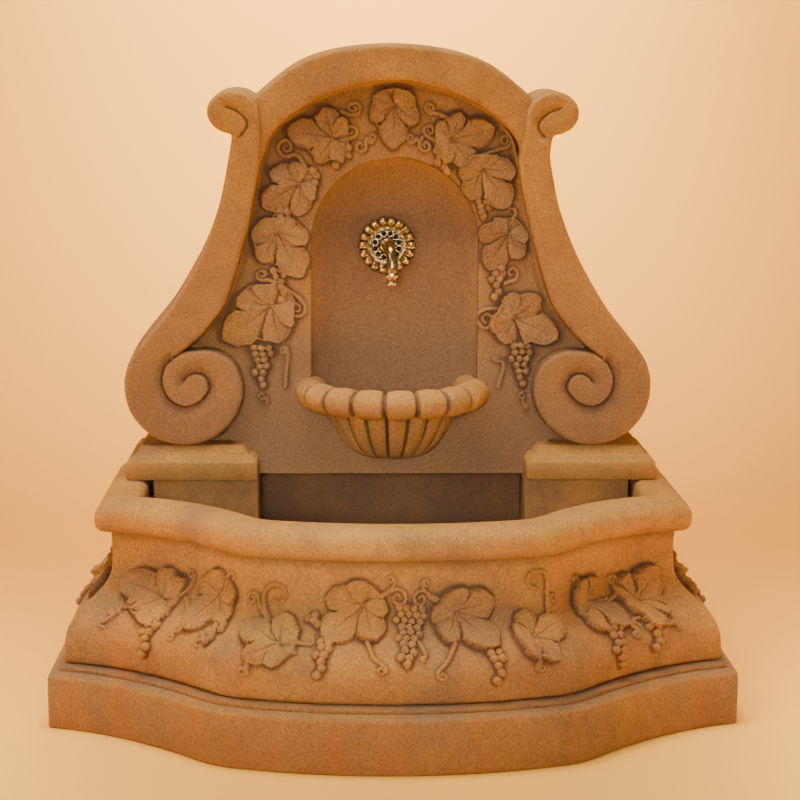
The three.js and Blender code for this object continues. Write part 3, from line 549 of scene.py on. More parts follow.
def relief_slab(name, points, behind, hollow, node, material):
    """A sheet of relief, closed by a coarse sheet a little way behind it."""
    rows, columns = points.shape[:2]
    edge = border(rows, columns)
    spots = [divmod(k, columns) for k in edge]
    inner_rows = np.linspace(0, rows - 1, max(4, rows // 14)).astype(int)[1:-1]
    inner_columns = np.linspace(0, columns - 1, max(4, columns // 8)).astype(int)[1:-1]
    spots += [(i, j) for i in inner_rows for j in inner_columns]
    loop = [(k, (k + 1) % len(edge)) for k in range(len(edge))]
    found, _, triangles, *_ = delaunay_2d_cdt([Vector(spot) for spot in spots], loop, [], 1, 1e-6)
    cells = np.rint(np.array(found)).astype(int)
    start = rows * columns
    faces = grid_faces(rows, columns)
    faces += [(a, b, start + j, start + i) for (i, j), (a, b) in zip(loop, zip(edge, edge[1:] + edge[:1]))]
    faces += [[start + k for k in reversed(triangle)] for triangle in triangles]
    shade = np.concatenate([hollow.ravel(), np.zeros(len(cells))])
    flat = np.vstack([points.reshape(-1, 3), behind[cells[:, 0], cells[:, 1]]])
    return make_piece(name, flat, faces, node, material, shade, math.radians(75))


# Finishes
def new_group(name, inputs, outputs):
    group = bpy.data.node_groups.new(name, "ShaderNodeTree")
    for title, kind, value in inputs:
        socket = group.interface.new_socket(title, in_out="INPUT", socket_type=kind)
        if value is not None:
            socket.default_value = value
    for title, kind in outputs:
        group.interface.new_socket(title, in_out="OUTPUT", socket_type=kind)
    return group, group.nodes.new("NodeGroupInput"), group.nodes.new("NodeGroupOutput")


def add_node(tree, kind, **values):
    node = tree.nodes.new(kind)
    for title, value in values.items():
        setattr(node, title, value)
    return node


def feed(tree, socket, value):
    """Link a socket to another node's output, or set it to a constant."""
    if hasattr(value, "links"):
        tree.links.new(value, socket)
    else:
        socket.default_value = value


def noise(tree, vector, scale, detail=4, roughness=0.6):
    node = add_node(tree, "ShaderNodeTexNoise")
    node.inputs["Scale"].default_value = scale
    node.inputs["Detail"].default_value = detail
    node.inputs["Roughness"].default_value = roughness
    tree.links.new(vector, node.inputs["Vector"])
    return node.outputs["Fac"]


def spread(tree, value, low, high, to_low=0.0, to_high=1.0):
    node = add_node(tree, "ShaderNodeMapRange", clamp=True)
    tree.links.new(value, node.inputs["Value"])
    for title, number in (("From Min", low), ("From Max", high), ("To Min", to_low), ("To Max", to_high)):
        feed(tree, node.inputs[title], number)
    return node.outputs["Result"]


def blend(tree, factor, a, b, mode="MIX"):
    node = add_node(tree, "ShaderNodeMix", data_type="RGBA", blend_type=mode)
    for socket, value in zip((node.inputs["Factor"], node.inputs[6], node.inputs[7]), (factor, a, b)):
        feed(tree, socket, value)
    return node.outputs[2]


def combine(tree, a, b, operation="MULTIPLY"):
    node = add_node(tree, "ShaderNodeMath", operation=operation)
    for socket, value in zip(node.inputs, (a, b)):
        feed(tree, socket, value)
    return node.outputs[0]


def stretched(tree, vector, scale):
    node = add_node(tree, "ShaderNodeMapping")
    node.inputs["Scale"].default_value = scale
    tree.links.new(vector, node.inputs["Vector"])
    return node.outputs["Vector"]


VALUE, VECTOR = "NodeSocketFloat", "NodeSocketVector"


def build_sand_grain():
    """Fine sandy grain with small pits: a height, and a speckle for the colour."""
    group, start, end = new_group(
        "sand_grain", [("Vector", VECTOR, None)], [("Height", VALUE), ("Speckle", VALUE)])
    vector = start.outputs["Vector"]
    fine = noise(group, vector, 640, 2, 0.7)
    coarse = noise(group, vector, 250, 3, 0.65)
    lumps = noise(group, vector, 30, 4, 0.6)
    pits = spread(group, noise(group, vector, 170, 2, 0.5), 0.28, 0.4, -1.0, 0.0)
    height = combine(group, combine(group, fine, 0.45), combine(group, coarse, 0.9), "ADD")
    height = combine(group, height, combine(group, lumps, 1.6), "ADD")
    height = combine(group, height, combine(group, pits, 0.5), "ADD")
    speckle = combine(group, combine(group, fine, 0.5), combine(group, coarse, 0.5), "ADD")
    group.links.new(height, end.inputs["Height"])
    group.links.new(speckle, end.inputs["Speckle"])
    return group


def build_wear_and_painted_shade():
    """Light on rubbed edges with a painted highlight on relief crests, and dark in creases with painted shade
    on the stone and grime on the brass, from the shape of the surface.
    """
    group, start, end = new_group(
        "wear_and_painted_shade", [("Vector", VECTOR, None), ("Hollow", VALUE, 0.0)],
        [("Wear_and_crest_highlight", VALUE), ("Crease_shade_and_grime", VALUE)])
    point = add_node(group, "ShaderNodeNewGeometry").outputs["Pointiness"]
    hollow = start.outputs["Hollow"]
    breakup = noise(group, start.outputs["Vector"], 60, 4, 0.7)
    wear_and_highlight = combine(group, spread(group, point, 0.515, 0.56), spread(group, breakup, 0.3, 0.6))
    # Relief crests, where hollow is negative, get a painted highlight on top of the rubbed edges
    wear_and_highlight = combine(group, wear_and_highlight, spread(group, hollow, -0.15, -0.9), "MAXIMUM")
    # Concave edges and relief creases darken: painted shade on the stone, grime on the brass
    crease = combine(group, spread(group, point, 0.485, 0.44), spread(group, hollow, 0.08, 0.75), "MAXIMUM")
    group.links.new(wear_and_highlight, end.inputs["Wear_and_crest_highlight"])
    group.links.new(crease, end.inputs["Crease_shade_and_grime"])
    return group


sand_grain = build_sand_grain()
wear_and_painted_shade = build_wear_and_painted_shade()


def place_group(tree, group, vector, **inputs):
    node = tree.nodes.new("ShaderNodeGroup")
    node.node_tree = group
    tree.links.new(vector, node.inputs["Vector"])
    for title, value in inputs.items():
        tree.links.new(value, node.inputs[title])
    return node


def surface(tree):
    """Where the surface is on the object, how rubbed it is with a painted highlight on relief crests, and how
    creased, which is painted shade on the stone and grime on the brass.
    """
    place = add_node(tree, "ShaderNodeTexCoord").outputs["Object"]
    hollow = add_node(tree, "ShaderNodeAttribute", attribute_name="hollow").outputs["Fac"]
    wear_and_shade_node = place_group(tree, wear_and_painted_shade, place, Hollow=hollow)
    return place, wear_and_shade_node.outputs["Wear_and_crest_highlight"], wear_and_shade_node.outputs["Crease_shade_and_grime"]


def add_bump(tree, shader, height, strength, distance):
    bump = add_node(tree, "ShaderNodeBump")
    bump.inputs["Strength"].default_value = strength
    bump.inputs["Distance"].default_value = distance
    tree.links.new(height, bump.inputs["Height"])
    tree.links.new(bump.outputs["Normal"], shader.inputs["Normal"])


def new_material(name, roughness, metallic=0.0):
    material = bpy.data.materials.new(name)
    material.use_nodes = True
    shader = material.node_tree.nodes["Principled BSDF"]
    shader.inputs["Roughness"].default_value = roughness
    shader.inputs["Metallic"].default_value = metallic
    return material, material.node_tree, shader


OCHRE = (0.46, 0.205, 0.047, 1)
PALE_OCHRE = (0.55, 0.27, 0.06, 1)
UMBER = (0.23, 0.11, 0.045, 1)
DUSK = (0.25, 0.135, 0.068, 1)
RUST = (0.52, 0.165, 0.025, 1)
FIELD_BROWN = (0.37, 0.20, 0.082, 1)
FIELD_OCHRE = (0.44, 0.215, 0.065, 1)
GOLD = (0.52, 0.28, 0.045, 1)
# Colour of the painted shade in creases and recesses
CREASE_SHADE = (0.065, 0.04, 0.035, 1)
BRASS = (0.46, 0.31, 0.12, 1)
TARNISH = (0.17, 0.10, 0.04, 1)
RUBBED_BRASS = (0.90, 0.68, 0.33, 1)
BRASS_GRIME = (0.03, 0.018, 0.01, 1)
PAPER = (0.96, 0.49, 0.08, 1)


def cast_stone(name, light, deep, dusk, rust=0.0, grain=1.0, darker_by_position=()):
    """Ochre cast stone: broad clouds of colour, speckle, dusky patches, rubbed edges with a painted highlight
    on relief crests, and painted shade in the creases.
    """
    material, tree, shader = new_material(name, 0.86)
    shader.inputs["Specular IOR Level"].default_value = 0.28
    place, wear_and_highlight, crease = surface(tree)
    grains = place_group(tree, sand_grain, place)
    clouds = spread(tree, noise(tree, place, 5.5, 5, 0.62), 0.42, 0.62)
    colour = blend(tree, clouds, deep, light)
    gold = noise(tree, stretched(tree, place, (1, 1, 0.6)), 7.5, 5, 0.65)
    colour = blend(tree, spread(tree, gold, 0.52, 0.66, 0.0, 0.55), colour, GOLD)
    patches = noise(tree, stretched(tree, place, (1, 1, 0.8)), 5.2, 5, 0.6)
    colour = blend(tree, spread(tree, patches, 0.48, 0.62, 0.0, dusk), colour, DUSK)
    mottle = spread(tree, noise(tree, place, 34, 7, 0.78), 0.42, 0.66)
    colour = blend(tree, combine(tree, mottle, 0.34), colour, UMBER)
    along = add_node(tree, "ShaderNodeSeparateXYZ")
    tree.links.new(place, along.inputs[0])
    if rust:
        streaks = noise(tree, stretched(tree, place, (11, 11, 1.1)), 1.0, 4, 0.6)
        low = spread(tree, along.outputs["Z"], 0.26, 0.06)
        amount = combine(tree, spread(tree, streaks, 0.5, 0.66, 0.0, rust), low)
        colour = blend(tree, amount, colour, RUST)
    # Darker along one axis: painted shade in the niche recess for the Y entry, darker towards the bottom for
    # the Z entries
    for axis, start, end, share in darker_by_position:
        colour = blend(tree, spread(tree, along.outputs[axis], start, end, 0.0, share), colour, DUSK)
    speckle = spread(tree, grains.outputs["Speckle"], 0.36, 0.64, 0.62, 1.32)
    grey = add_node(tree, "ShaderNodeCombineColor")
    for socket in grey.inputs:
        tree.links.new(speckle, socket)
    colour = blend(tree, 1.0, colour, grey.outputs[0], "MULTIPLY")
    # Lighter on rubbed edges, with a painted highlight on relief crests
    colour = blend(tree, combine(tree, wear_and_highlight, 0.3), colour, PALE_OCHRE)
    # Painted shade in creases and recesses
    colour = blend(tree, combine(tree, crease, 0.7), colour, CREASE_SHADE)
    tree.links.new(colour, shader.inputs["Base Color"])
    add_bump(tree, shader, grains.outputs["Height"], 0.9, 0.0014 * grain)
    return material


def antique_brass():
    """Brass with tarnish, rubbed crests and grime in its hollows."""
    material, tree, shader = new_material("antique_brass", 0.3, 1.0)
    place, wear_and_highlight, crease = surface(tree)
    tarnish = spread(tree, noise(tree, place, 130, 4, 0.6), 0.4, 0.7)
    colour = blend(tree, combine(tree, tarnish, 0.6), BRASS, TARNISH)
    colour = blend(tree, combine(tree, wear_and_highlight, 0.8), colour, RUBBED_BRASS)
    colour = blend(tree, crease, colour, BRASS_GRIME)
    tree.links.new(colour, shader.inputs["Base Color"])
    tree.links.new(spread(tree, crease, 0, 1, 0.26, 0.6), shader.inputs["Roughness"])
    add_bump(tree, shader, noise(tree, place, 500, 3, 0.5), 0.25, 0.0004)
    return material


# The basin, the field and the frame get darker towards the bottom; on the field the Y entry is painted shade
# in the niche recess
basin_stone = cast_stone("basin_stone", PALE_OCHRE, OCHRE, 0.7, rust=0.65, darker_by_position=(("Z", 0.15, 0.02, 0.5),))
field_stone = cast_stone("field_stone", FIELD_OCHRE, FIELD_BROWN, 0.5, grain=0.8,
                         darker_by_position=(("Y", 0.196, 0.225, 0.8), ("Z", 0.66, 0.46, 0.65)))
frame_stone = cast_stone("frame_stone", PALE_OCHRE, OCHRE, 0.5, grain=1.3, darker_by_position=(("Z", 0.85, 0.5, 0.65),))
bowl_stone = cast_stone("bowl_stone", PALE_OCHRE, OCHRE, 0.5, grain=1.1)
pier_stone = cast_stone("pier_stone", OCHRE, UMBER, 0.4)
brass = antique_brass()


# Basin
def basin_columns(spacing):
    corners = [0] + [turn + k * half for turn, half in SOFTENINGS for k in (-1, 1)] + [3]
    steps = []
    for a, b in zip(corners, corners[1:]):
        run = np.interp(b, wall_steps, wall_length) - np.interp(a, wall_steps, wall_length)
        steps += list(np.linspace(a, b, max(5, int(run / spacing)), endpoint=False))
    half = np.array(steps + [3.0])
    return np.concatenate([-half[:0:-1], half])


def basin_tub():
    inner = BACK - BACK_WALL
    plinth = [(0, 3), (1, 1.2), (4, 0), (45, 0), (81, 0.2), (86, 1.4), (89.3, 4.2), (90.8, 9), (91.6, 13.5),
              (92.6, 15.6), (94, 15.8), (96.5, 15.4), (99, 16.4), (100.8, 19.5), (101.4, 25), (101.6, 33)]
    body = [(z, inset + 4) for z, inset in BODY_PROFILE[1:-1]]
    rim = [(307, 103), (307.4, 95), (308.6, 87), (311.5, 80.5), (317, 76), (325, 73.4), (334, 73),
           (343, 74.6), (350.5, 79), (356, 86), (359, 95), (RIM_TOP, 106), (RIM_TOP, 122)]
    lip = [(RIM_TOP - 0.8, 131), (RIM_TOP - 4, 138.5), (RIM_TOP - 9, 143), (RIM_TOP - 16, WALL_INSET),
           (300, WALL_INSET + 1), (200, WALL_INSET + 2), (FLOOR_THICKNESS + 8, WALL_INSET + 3),
           (FLOOR_THICKNESS + 2.5, WALL_INSET + 4.5), (FLOOR_THICKNESS, WALL_INSET + 8)]
    rows = [(z, inset, BACK) for z, inset in plinth + body + rim]
    rows += [(z, inset, inner - max(0, inset - WALL_INSET)) for z, inset in lip]
    columns = basin_columns(7)
    loops = []
    for z, inset, back in rows:
        xy = plan(columns, inset)
        xy[:, 1] = np.minimum(xy[:, 1], back)
        loops.append(np.column_stack([xy, np.full(len(xy), z)]))
    # Painted shade in the plinth grooves, over the body and under the rim, fading out on the rim's top; none
    # on the inner lip
    shades = [np.interp(z, [84, 90, 96, 100, 104], [0, 0.35, 0.1, 0.6, 0.3]) for z, _ in plinth]
    shades += [0.3] * len(body)
    shades += [np.interp(z, [307, 312, 325, 335], [0.7, 0.45, 0.12, 0]) for z, _ in rim]
    shades += [0.0] * len(lip)
    points, faces = lofted(loops)
    shade = np.append(np.repeat(shades, len(columns)), [0, 0])
    return make_piece("basin_tub", points, faces, "basin", basin_stone, shade)


def body_skin(name, u0, u1, leaves, bunches, tendrils, flip=1):
    u = np.linspace(u0, u1, max(2, int(round((u1 - u0) / RELIEF_STEP)) + 1))
    v = np.linspace(0, profile_length[-1], int(round(profile_length[-1] / RELIEF_STEP)) + 1)
    grid_u, grid_v = np.meshgrid(u, v)
    height = vine_height(grid_u * flip, grid_v, leaves, bunches, tendrils)
    height += 0.35 * value_noise(grid_u, grid_v, 22, 21) + 0.15 * value_noise(grid_u, grid_v, 7, 22)
    points = on_body(grid_u, grid_v, height)
    behind = on_body(grid_u, grid_v, np.full_like(height, -7.0))
    # Painted shade under the rim and in the relief creases, with a painted highlight on the crests
    shade_under_rim = 0.55 * soft_step((grid_v - profile_length[-1] + 24) / 24)
    shade = np.maximum(painted_relief_shade(height), shade_under_rim)
    return relief_slab(name, points, behind, shade, "basin", basin_stone)


def basin():
    basin_tub()
    bow, wing, end = (np.interp(k, wall_steps, wall_length) for k in (1, 2, 3))
    relief = (BASIN_LEAVES, BASIN_BUNCHES, BASIN_TENDRILS)
    side = (SIDE_LEAVES, SIDE_BUNCHES, SIDE_TENDRILS)
    body_skin("basin_front", -bow, bow, *relief)
    body_skin("basin_wing_left", -wing, -bow, *relief)
    body_skin("basin_wing_right", bow, wing, *relief)
    body_skin("basin_side_left", -end, -wing, *side, flip=-1)
    body_skin("basin_side_right", wing, end, *side)


# Panel
INNER_EDGE = smooth_curve(mirrored((
    (345, 572), (323, 601), (293, 636), (274, 667), (247, 752), (227, 836), (217, 893)) + ARCH_INNER), 2.0)
INNER_EDGE[:, 0] += FRAME_SHIFT * soft_step((980 - INNER_EDGE[:, 1]) / 60)


def field_edge(z, side):
    """How far out the field runs at a height below the arch, under the frame."""
    half = len(INNER_EDGE) // 2
    edge = INNER_EDGE[:half] if side > 0 else INNER_EDGE[:half:-1]
    upper = np.interp(z, edge[:, 1], np.abs(edge[:, 0]))
    lower = np.interp(z, [PANEL_FOOT, 400, 430, 500, 540, 560, 572],
                      [256, 256, 285, 262, 278, 318, 345])
    return np.where(z < 572, lower, upper)


def field_skin(name, side):
    low = np.arange(PANEL_FOOT + 0.5, NICHE_FOOT, 5.0)
    high = np.arange(NICHE_FOOT + 2, NICHE_SPRING, RELIEF_STEP)
    straight = np.concatenate([low, high])
    quarter = np.linspace(0, math.pi / 2, int(round(424 / RELIEF_STEP)))
    centre = np.array([NICHE_X, NICHE_SPRING])
    offset = (INNER_EDGE - centre) * np.array([side, 1])
    angles = np.arctan2(offset[:, 1], offset[:, 0])
    order = np.argsort(angles)
    reach = np.interp(quarter, angles[order], np.linalg.norm(offset, axis=1)[order])
    # Each row runs from the back of the niche to its arris and on to the frame
    rows = len(straight) + len(quarter)
    along = np.concatenate([np.zeros(len(straight)), quarter])
    base_z = np.concatenate([straight, np.full(len(quarter), NICHE_SPRING)])
    straight_out = field_edge(straight, side) - side * NICHE_X
    out = np.concatenate([straight_out, reach])
    field_columns = int(round(105 / RELIEF_STEP)) + 1
    bend = np.concatenate([[0, 0.004], np.linspace(0.06, math.pi / 2, 26)])
    niche_columns = len(bend)
    share = np.linspace(0, 1, field_columns)[1:]
    radial = np.zeros((rows, niche_columns + len(share)))
    depth = np.zeros_like(radial)
    radial[:, :niche_columns] = NICHE_HALF * np.sin(bend)
    depth[:, :niche_columns] = NICHE_DEPTH * np.cos(bend)
    depth[:len(low), :niche_columns] = 0
    radial[:, niche_columns:] = NICHE_HALF + (out[:, None] - NICHE_HALF) * share
    x = NICHE_X + side * radial * np.cos(along)[:, None]
    z = base_z[:, None] + radial * np.sin(along)[:, None]
    on_field = radial >= NICHE_HALF - 1e-6
    height = np.zeros_like(x)
    relief = vine_height(x[on_field], z[on_field], PANEL_LEAVES, PANEL_BUNCHES, PANEL_TENDRILS)
    height[on_field] = relief
    to_edge = (out[:, None] - radial) * np.where(base_z < 640, 0.8, 0.97)[:, None]
    upright = soft_step((z - 590) / 40)
    cove = COVE - np.sqrt(np.clip(COVE ** 2 - np.clip(COVE - to_edge, 0, COVE) ** 2, 0, None))
    height = np.maximum(height, cove * upright)
    # Arris where the field turns into the niche, crisp on the left and soft on the right
    ease = 8.0 if side > 0 else 3.0
    arris = np.clip(1 - (radial - NICHE_HALF) / ease, 0, 1) * on_field * (base_z > NICHE_FOOT)[:, None]
    height -= 0.4 * ease * arris ** 2
    height += 0.3 * value_noise(x, z, 24, 31) * on_field
    points = np.dstack([x, FIELD_Y + depth - height, z])
    behind = np.dstack([x, FIELD_Y + depth + 12, z])
    # Painted shade in the relief creases and a painted highlight on the crests, with no highlight inside the
    # niche
    shade = painted_relief_shade(height)
    shade[:, :niche_columns] = np.maximum(shade[:, :niche_columns], 0)
    return relief_slab(name, points, behind, shade, "back_panel", field_stone)


def closed_outline(polygons):
    """The outer outline of several overlapping polygons."""
    points, faces = [], []
    for polygon in polygons:
        faces.append(list(range(len(points), len(points) + len(polygon))))
        points += [Vector(p) for p in polygon]
    found, _, triangles, *_ = delaunay_2d_cdt(points, [], faces, 1, 1e-4)
    edges = {}
    for triangle in triangles:
        for a, b in zip(triangle, triangle[1:] + triangle[:1]):
            edges[(a, b)] = True
    after = {a: b for a, b in edges if (b, a) not in edges}
    start = next(iter(after))
    loop, at = [start], after[start]
    while at != start:
        loop.append(at)
        at = after[at]
    return np.array([found[k] for k in loop])


def round_corners(loop, passes):
    for _ in range(passes):
        loop = 0.25 * np.roll(loop, 1, axis=0) + 0.5 * loop + 0.25 * np.roll(loop, -1, axis=0)
    return loop


def grown(loop, distance):
    """A counter-clockwise loop moved outwards."""
    a = unit(loop - np.roll(loop, 1, axis=0))
    b = unit(np.roll(loop, -1, axis=0) - loop)
    a, b = (np.stack([edge[:, 1], -edge[:, 0]], axis=1) for edge in (a, b))
    mitre = (a + b) / np.maximum(1 + (a * b).sum(axis=1), 0.5)[:, None]
    return loop + mitre * distance


def inside(points, loop):
    x, z = points[:, 0][:, None], points[:, 1][:, None]
    a, b = loop, np.roll(loop, -1, axis=0)
    crosses = (a[:, 1] > z) != (b[:, 1] > z)
    with np.errstate(divide="ignore", invalid="ignore"):
        at = a[:, 0] + (z - a[:, 1]) * (b[:, 0] - a[:, 0]) / (b[:, 1] - a[:, 1])
    return (crosses & (x < at)).sum(axis=1) % 2 == 1


def gap_to(points, path):
    gaps = np.full(len(points), np.inf)
    for start in range(0, len(path), 200):
        part = path[start:start + 200]
        gaps = np.minimum(gaps, np.linalg.norm(points[:, None] - part[None], axis=2).min(axis=1))
    return gaps


def signed_gap(points, path):
    """Gap to a path, positive on its right-hand side."""
    gaps = np.linalg.norm(points[:, None] - path[None], axis=2)
    closest = np.argmin(gaps, axis=1)
    ahead = np.gradient(path, axis=0)[closest]
    offset = points - path[closest]
    right = offset[:, 0] * ahead[:, 1] - offset[:, 1] * ahead[:, 0]
    return gaps[np.arange(len(points)), closest] * np.sign(right)


def groove_depth(points, path, depth, crisp, soft):
    """A groove with a crisp wall on the right-hand side of its path and a soft slope on the left."""
    gap = signed_gap(points, path)
    wall = 1 - soft_step(gap / crisp)
    slope = 0.35 * (1 - soft_step(-gap / 4.5)) + 0.65 * (1 - soft_step(-gap / soft))
    return depth * np.where(gap > 0, wall, slope)


def face_spots(loop, grooves):
    """Points inside a loop, wide apart on the flat and close together along the grooves."""
    (left, foot), (right, top) = loop.min(axis=0), loop.max(axis=0)
    spots = []
    for pitch, carved in ((7.0, False), (1.7, True)):
        gx, gz = np.meshgrid(np.arange(left, right, pitch), np.arange(foot, top, pitch * 0.87))
        gx[1::2] += pitch / 2
        cloud = np.column_stack([gx.ravel(), gz.ravel()])
        cloud = cloud[inside(cloud, loop)]
        cloud = cloud[gap_to(cloud, loop) > min(pitch, 2.2)]
        close = np.zeros(len(cloud), bool)
        for path, *_ in grooves:
            close |= gap_to(cloud, path) <= GROOVE_REACH
        spots.append(cloud[close == carved])
    return np.vstack(spots)


def filled(loop, spots):
    """Points, faces and origins of a flat sheet with a loop for its edge."""
    count = len(loop)
    edges = [(i, (i + 1) % count) for i in range(count)]
    flat = [Vector(p) for p in np.vstack([loop, spots])]
    found, _, triangles, origin, *_ = delaunay_2d_cdt(flat, edges, [], 1, 1e-5)
    return np.array(found), triangles, origin


def frame_plate(name, polygons, front, back, side, grooves=(), shift=None):
    """A plate with a rounded front arris and carved grooves, back to the wall."""
    outline = closed_outline(polygons)
    after = np.roll(outline, -1, axis=0)
    if ((after[:, 0] - outline[:, 0]) * (after[:, 1] + outline[:, 1])).sum() > 0:
        outline = outline[::-1]
    outline = resample(np.vstack([outline, outline[:1]]), 3.0)[:-1]
    outline = round_corners(outline, 3)
    loops = [(DRAFT, back), (DRAFT, back - 3), (DRAFT * 0.5, (front + BACK) / 2)]
    for a in np.linspace(0, math.pi / 2, 5):
        loops.append((-FRAME_ARRIS * (1 - math.cos(a)), front + FRAME_ARRIS * (1 - math.sin(a))))
    rings = [(grown(outline, distance), y) for distance, y in loops]
    rim, inner = rings[0][0], rings[-1][0]
    count = len(inner)
    found, triangles, origin = filled(inner, face_spots(inner, grooves))
    y = np.full(len(found), float(front))
    for groove in grooves:
        y += groove_depth(found, *groove)
    # Painted shade in the grooves, darker where they are deeper
    shade = np.clip((y - front) / 9, 0, 1) * 0.7
    y += 0.35 * value_noise(found[:, 0], found[:, 1], 26, 41)
    for k, sources in enumerate(origin):
        if any(s < count for s in sources):
            y[k] = front
    within = grown(rim, -5)
    within = within[inside(within, rim) & (gap_to(within, rim) > 3)]
    behind, back_triangles, _ = filled(rim, within)
    layers = rings + [(found, y), (behind, back)]
    points = np.vstack([np.column_stack([flat[:, 0], np.full(len(flat), at), flat[:, 1]])
                        for flat, at in layers])
    start = count * len(rings)
    faces = loft_faces(count, len(rings)) + [[start + i for i in triangle] for triangle in triangles]
    start += len(found)
    faces += [[start + i for i in triangle] for triangle in back_triangles]
    points[:, 0] *= side
    if shift:
        points[:, 0] += shift(points[:, 2])
    # Painted shade on the side walls, fading out round the arris
    painted_side_shade = np.repeat([0.45, 0.45, 0.45, 0.45, 0.3, 0.12, 0.0, 0.0], count)
    shade = np.concatenate([painted_side_shade, shade, np.zeros(len(behind))])
    return make_piece(name, points, faces, "back_panel", frame_stone, shade, math.radians(60))


RIBBON_OUTER = ((268, 951), (268, 915), (276, 868), (289, 815), (318, 744), (362, 667), (388, 632),
                (416, 598), (440, 563), (450, 529))
RIBBON_INNER = ((224, 989), (218, 930), (217, 893), (227, 836), (247, 752), (274, 667), (293, 636),
                (323, 601), (368, 566))
VOLUTE_REACH = ((0, 105), (30, 111), (60, 114), (90, 113.5), (130, 107), (167, 99), (200, 86), (230, 66),
                (252, 53), (300, 43), (330, 43), (345, 70), (360, 105))


def circle(centre, turn, reach_x, reach_z):
    return np.asarray(centre) + np.stack([reach_x * np.cos(turn), reach_z * np.sin(turn)], axis=1)


def frame_shift(z):
    """The ribbons and volutes stand a little to one side of the scrolls and caps."""
    return FRAME_SHIFT * soft_step((960 - z) / 60)


def side_frame(name, side):
    ribbon = np.vstack([smooth_curve(RIBBON_OUTER, 4), VOLUTE[None], smooth_curve(RIBBON_INNER, 4)[::-1]])
    degrees = np.linspace(0, 360, 120, endpoint=False)
    reach = np.interp(degrees, *np.array(VOLUTE_REACH).T)
    volute = circle(VOLUTE, -np.radians(degrees), reach, reach)
    scroll = circle(SCROLL + (1, 0), np.linspace(0, 2 * math.pi, 60, endpoint=False), *SCROLL_REACH)
    grooves = ((smooth_curve(VOLUTE_GROOVE, 1.5), 9.0, 3.0, 23.0),
               (smooth_curve(SCROLL_GROOVE, 1.5), 5.0, 3.5, 13.0))
    polygons = [ribbon[::-1], volute[::-1], scroll]
    return frame_plate(name, polygons, RIBBON_Y, BACK, side, grooves, frame_shift)


def arch_band():
    outer = mirrored(((-250, 985), (-228, 1010), (-160, 1062), (-90, 1085), (0, ARCH_TOP)))
    inner = mirrored(((232, 880),) + ARCH_INNER)
    band = np.vstack([smooth_curve(outer, 4), smooth_curve(inner, 4)])[::-1]
    return frame_plate("arch_band", [band], ARCH_Y, BACK - 0.3, 1)


def panel_slab():
    """The thickness of the casting behind the field, with the niche left out of it."""
    half = ((258, PANEL_FOOT + 0.5), (258, 390), (330, 390), (390, 470), (400, 560), (345, 640), (290, 740),
            (250, 830), (255, 930), (232, 990), (120, 1060), (0, 1080))
    outline = np.array(mirrored(half), float)
    reach = NICHE_HALF + 8
    arch = circle((NICHE_X, NICHE_SPRING), np.linspace(0, math.pi, 40), reach, reach)
    foot = NICHE_FOOT - 6.0
    opening = np.vstack([(NICHE_X + reach, foot), arch, (NICHE_X - reach, foot)])
    flat = np.vstack([outline, opening])
    n, m = len(outline), len(opening)
    edges = [(i, (i + 1) % n) for i in range(n)] + [(n + i, n + (i + 1) % m) for i in range(m)]
    found, _, triangles, *_ = delaunay_2d_cdt([Vector(p) for p in flat], edges, [], 0, 1e-5)
    found = np.array(found)
    middles = np.array([found[list(t)].mean(axis=0) for t in triangles])
    solid = inside(middles, outline)
    hole = solid & inside(middles, opening)
    layers = [np.column_stack([found[:, 0], np.full(len(found), y), found[:, 1]])
              for y in (FIELD_Y + 14, BACK - 0.6, FIELD_Y + NICHE_DEPTH + 12)]
    points = np.vstack(layers)
    size = len(found)
    faces = []
    for layer, mask in enumerate((solid & ~hole, solid, hole)):
        faces += [[layer * size + i for i in t] for t, kept in zip(triangles, mask) if kept]
    faces += [(a, b, size + b, size + a) for a, b in edges[:n]]
    faces += [(a, b, 2 * size + b, 2 * size + a) for a, b in edges[n:]]
    return make_piece("panel_slab", points, faces, "back_panel", field_stone)


def cap(name, side):
    """A block with a rounded upper edge, a sloped shoulder with a small step, and a flat top."""
    steps = [(0, 2.5), (0.8, 0.8), (2.5, 0), (29, 0), (31.5, 0.6), (33, 2.2), (35, 4.4), (40.5, 8.2),
             (41.6, 9.6), (41.9, 11.5), (41.6, 13.2), (42.4, 14.8), (44, 15.6), (53, 21.6), (55.3, 23.2),
             (56.4, 25), (57, 29)]
    ease, flush = 2.5, BACK - 0.9
    loops = []
    for rise, inset in steps:
        x0, x1, y0 = CAP_INNER + inset, CAP_OUTER - inset, CAP_FRONT + inset
        corners = [(x0 + ease, y0), (x1 - ease, y0), (x1 - 0.7, y0 + 0.7), (x1, y0 + ease), (x1, flush),
                   (x0, flush), (x0, y0 + ease), (x0 + 0.7, y0 + 0.7)]
        loops.append(np.array([(side * x, y, PANEL_FOOT + rise) for x, y in corners]))
    points, faces = lofted(loops)
    return make_piece(name, points, faces, "back_panel", bowl_stone, sharp=math.radians(40))


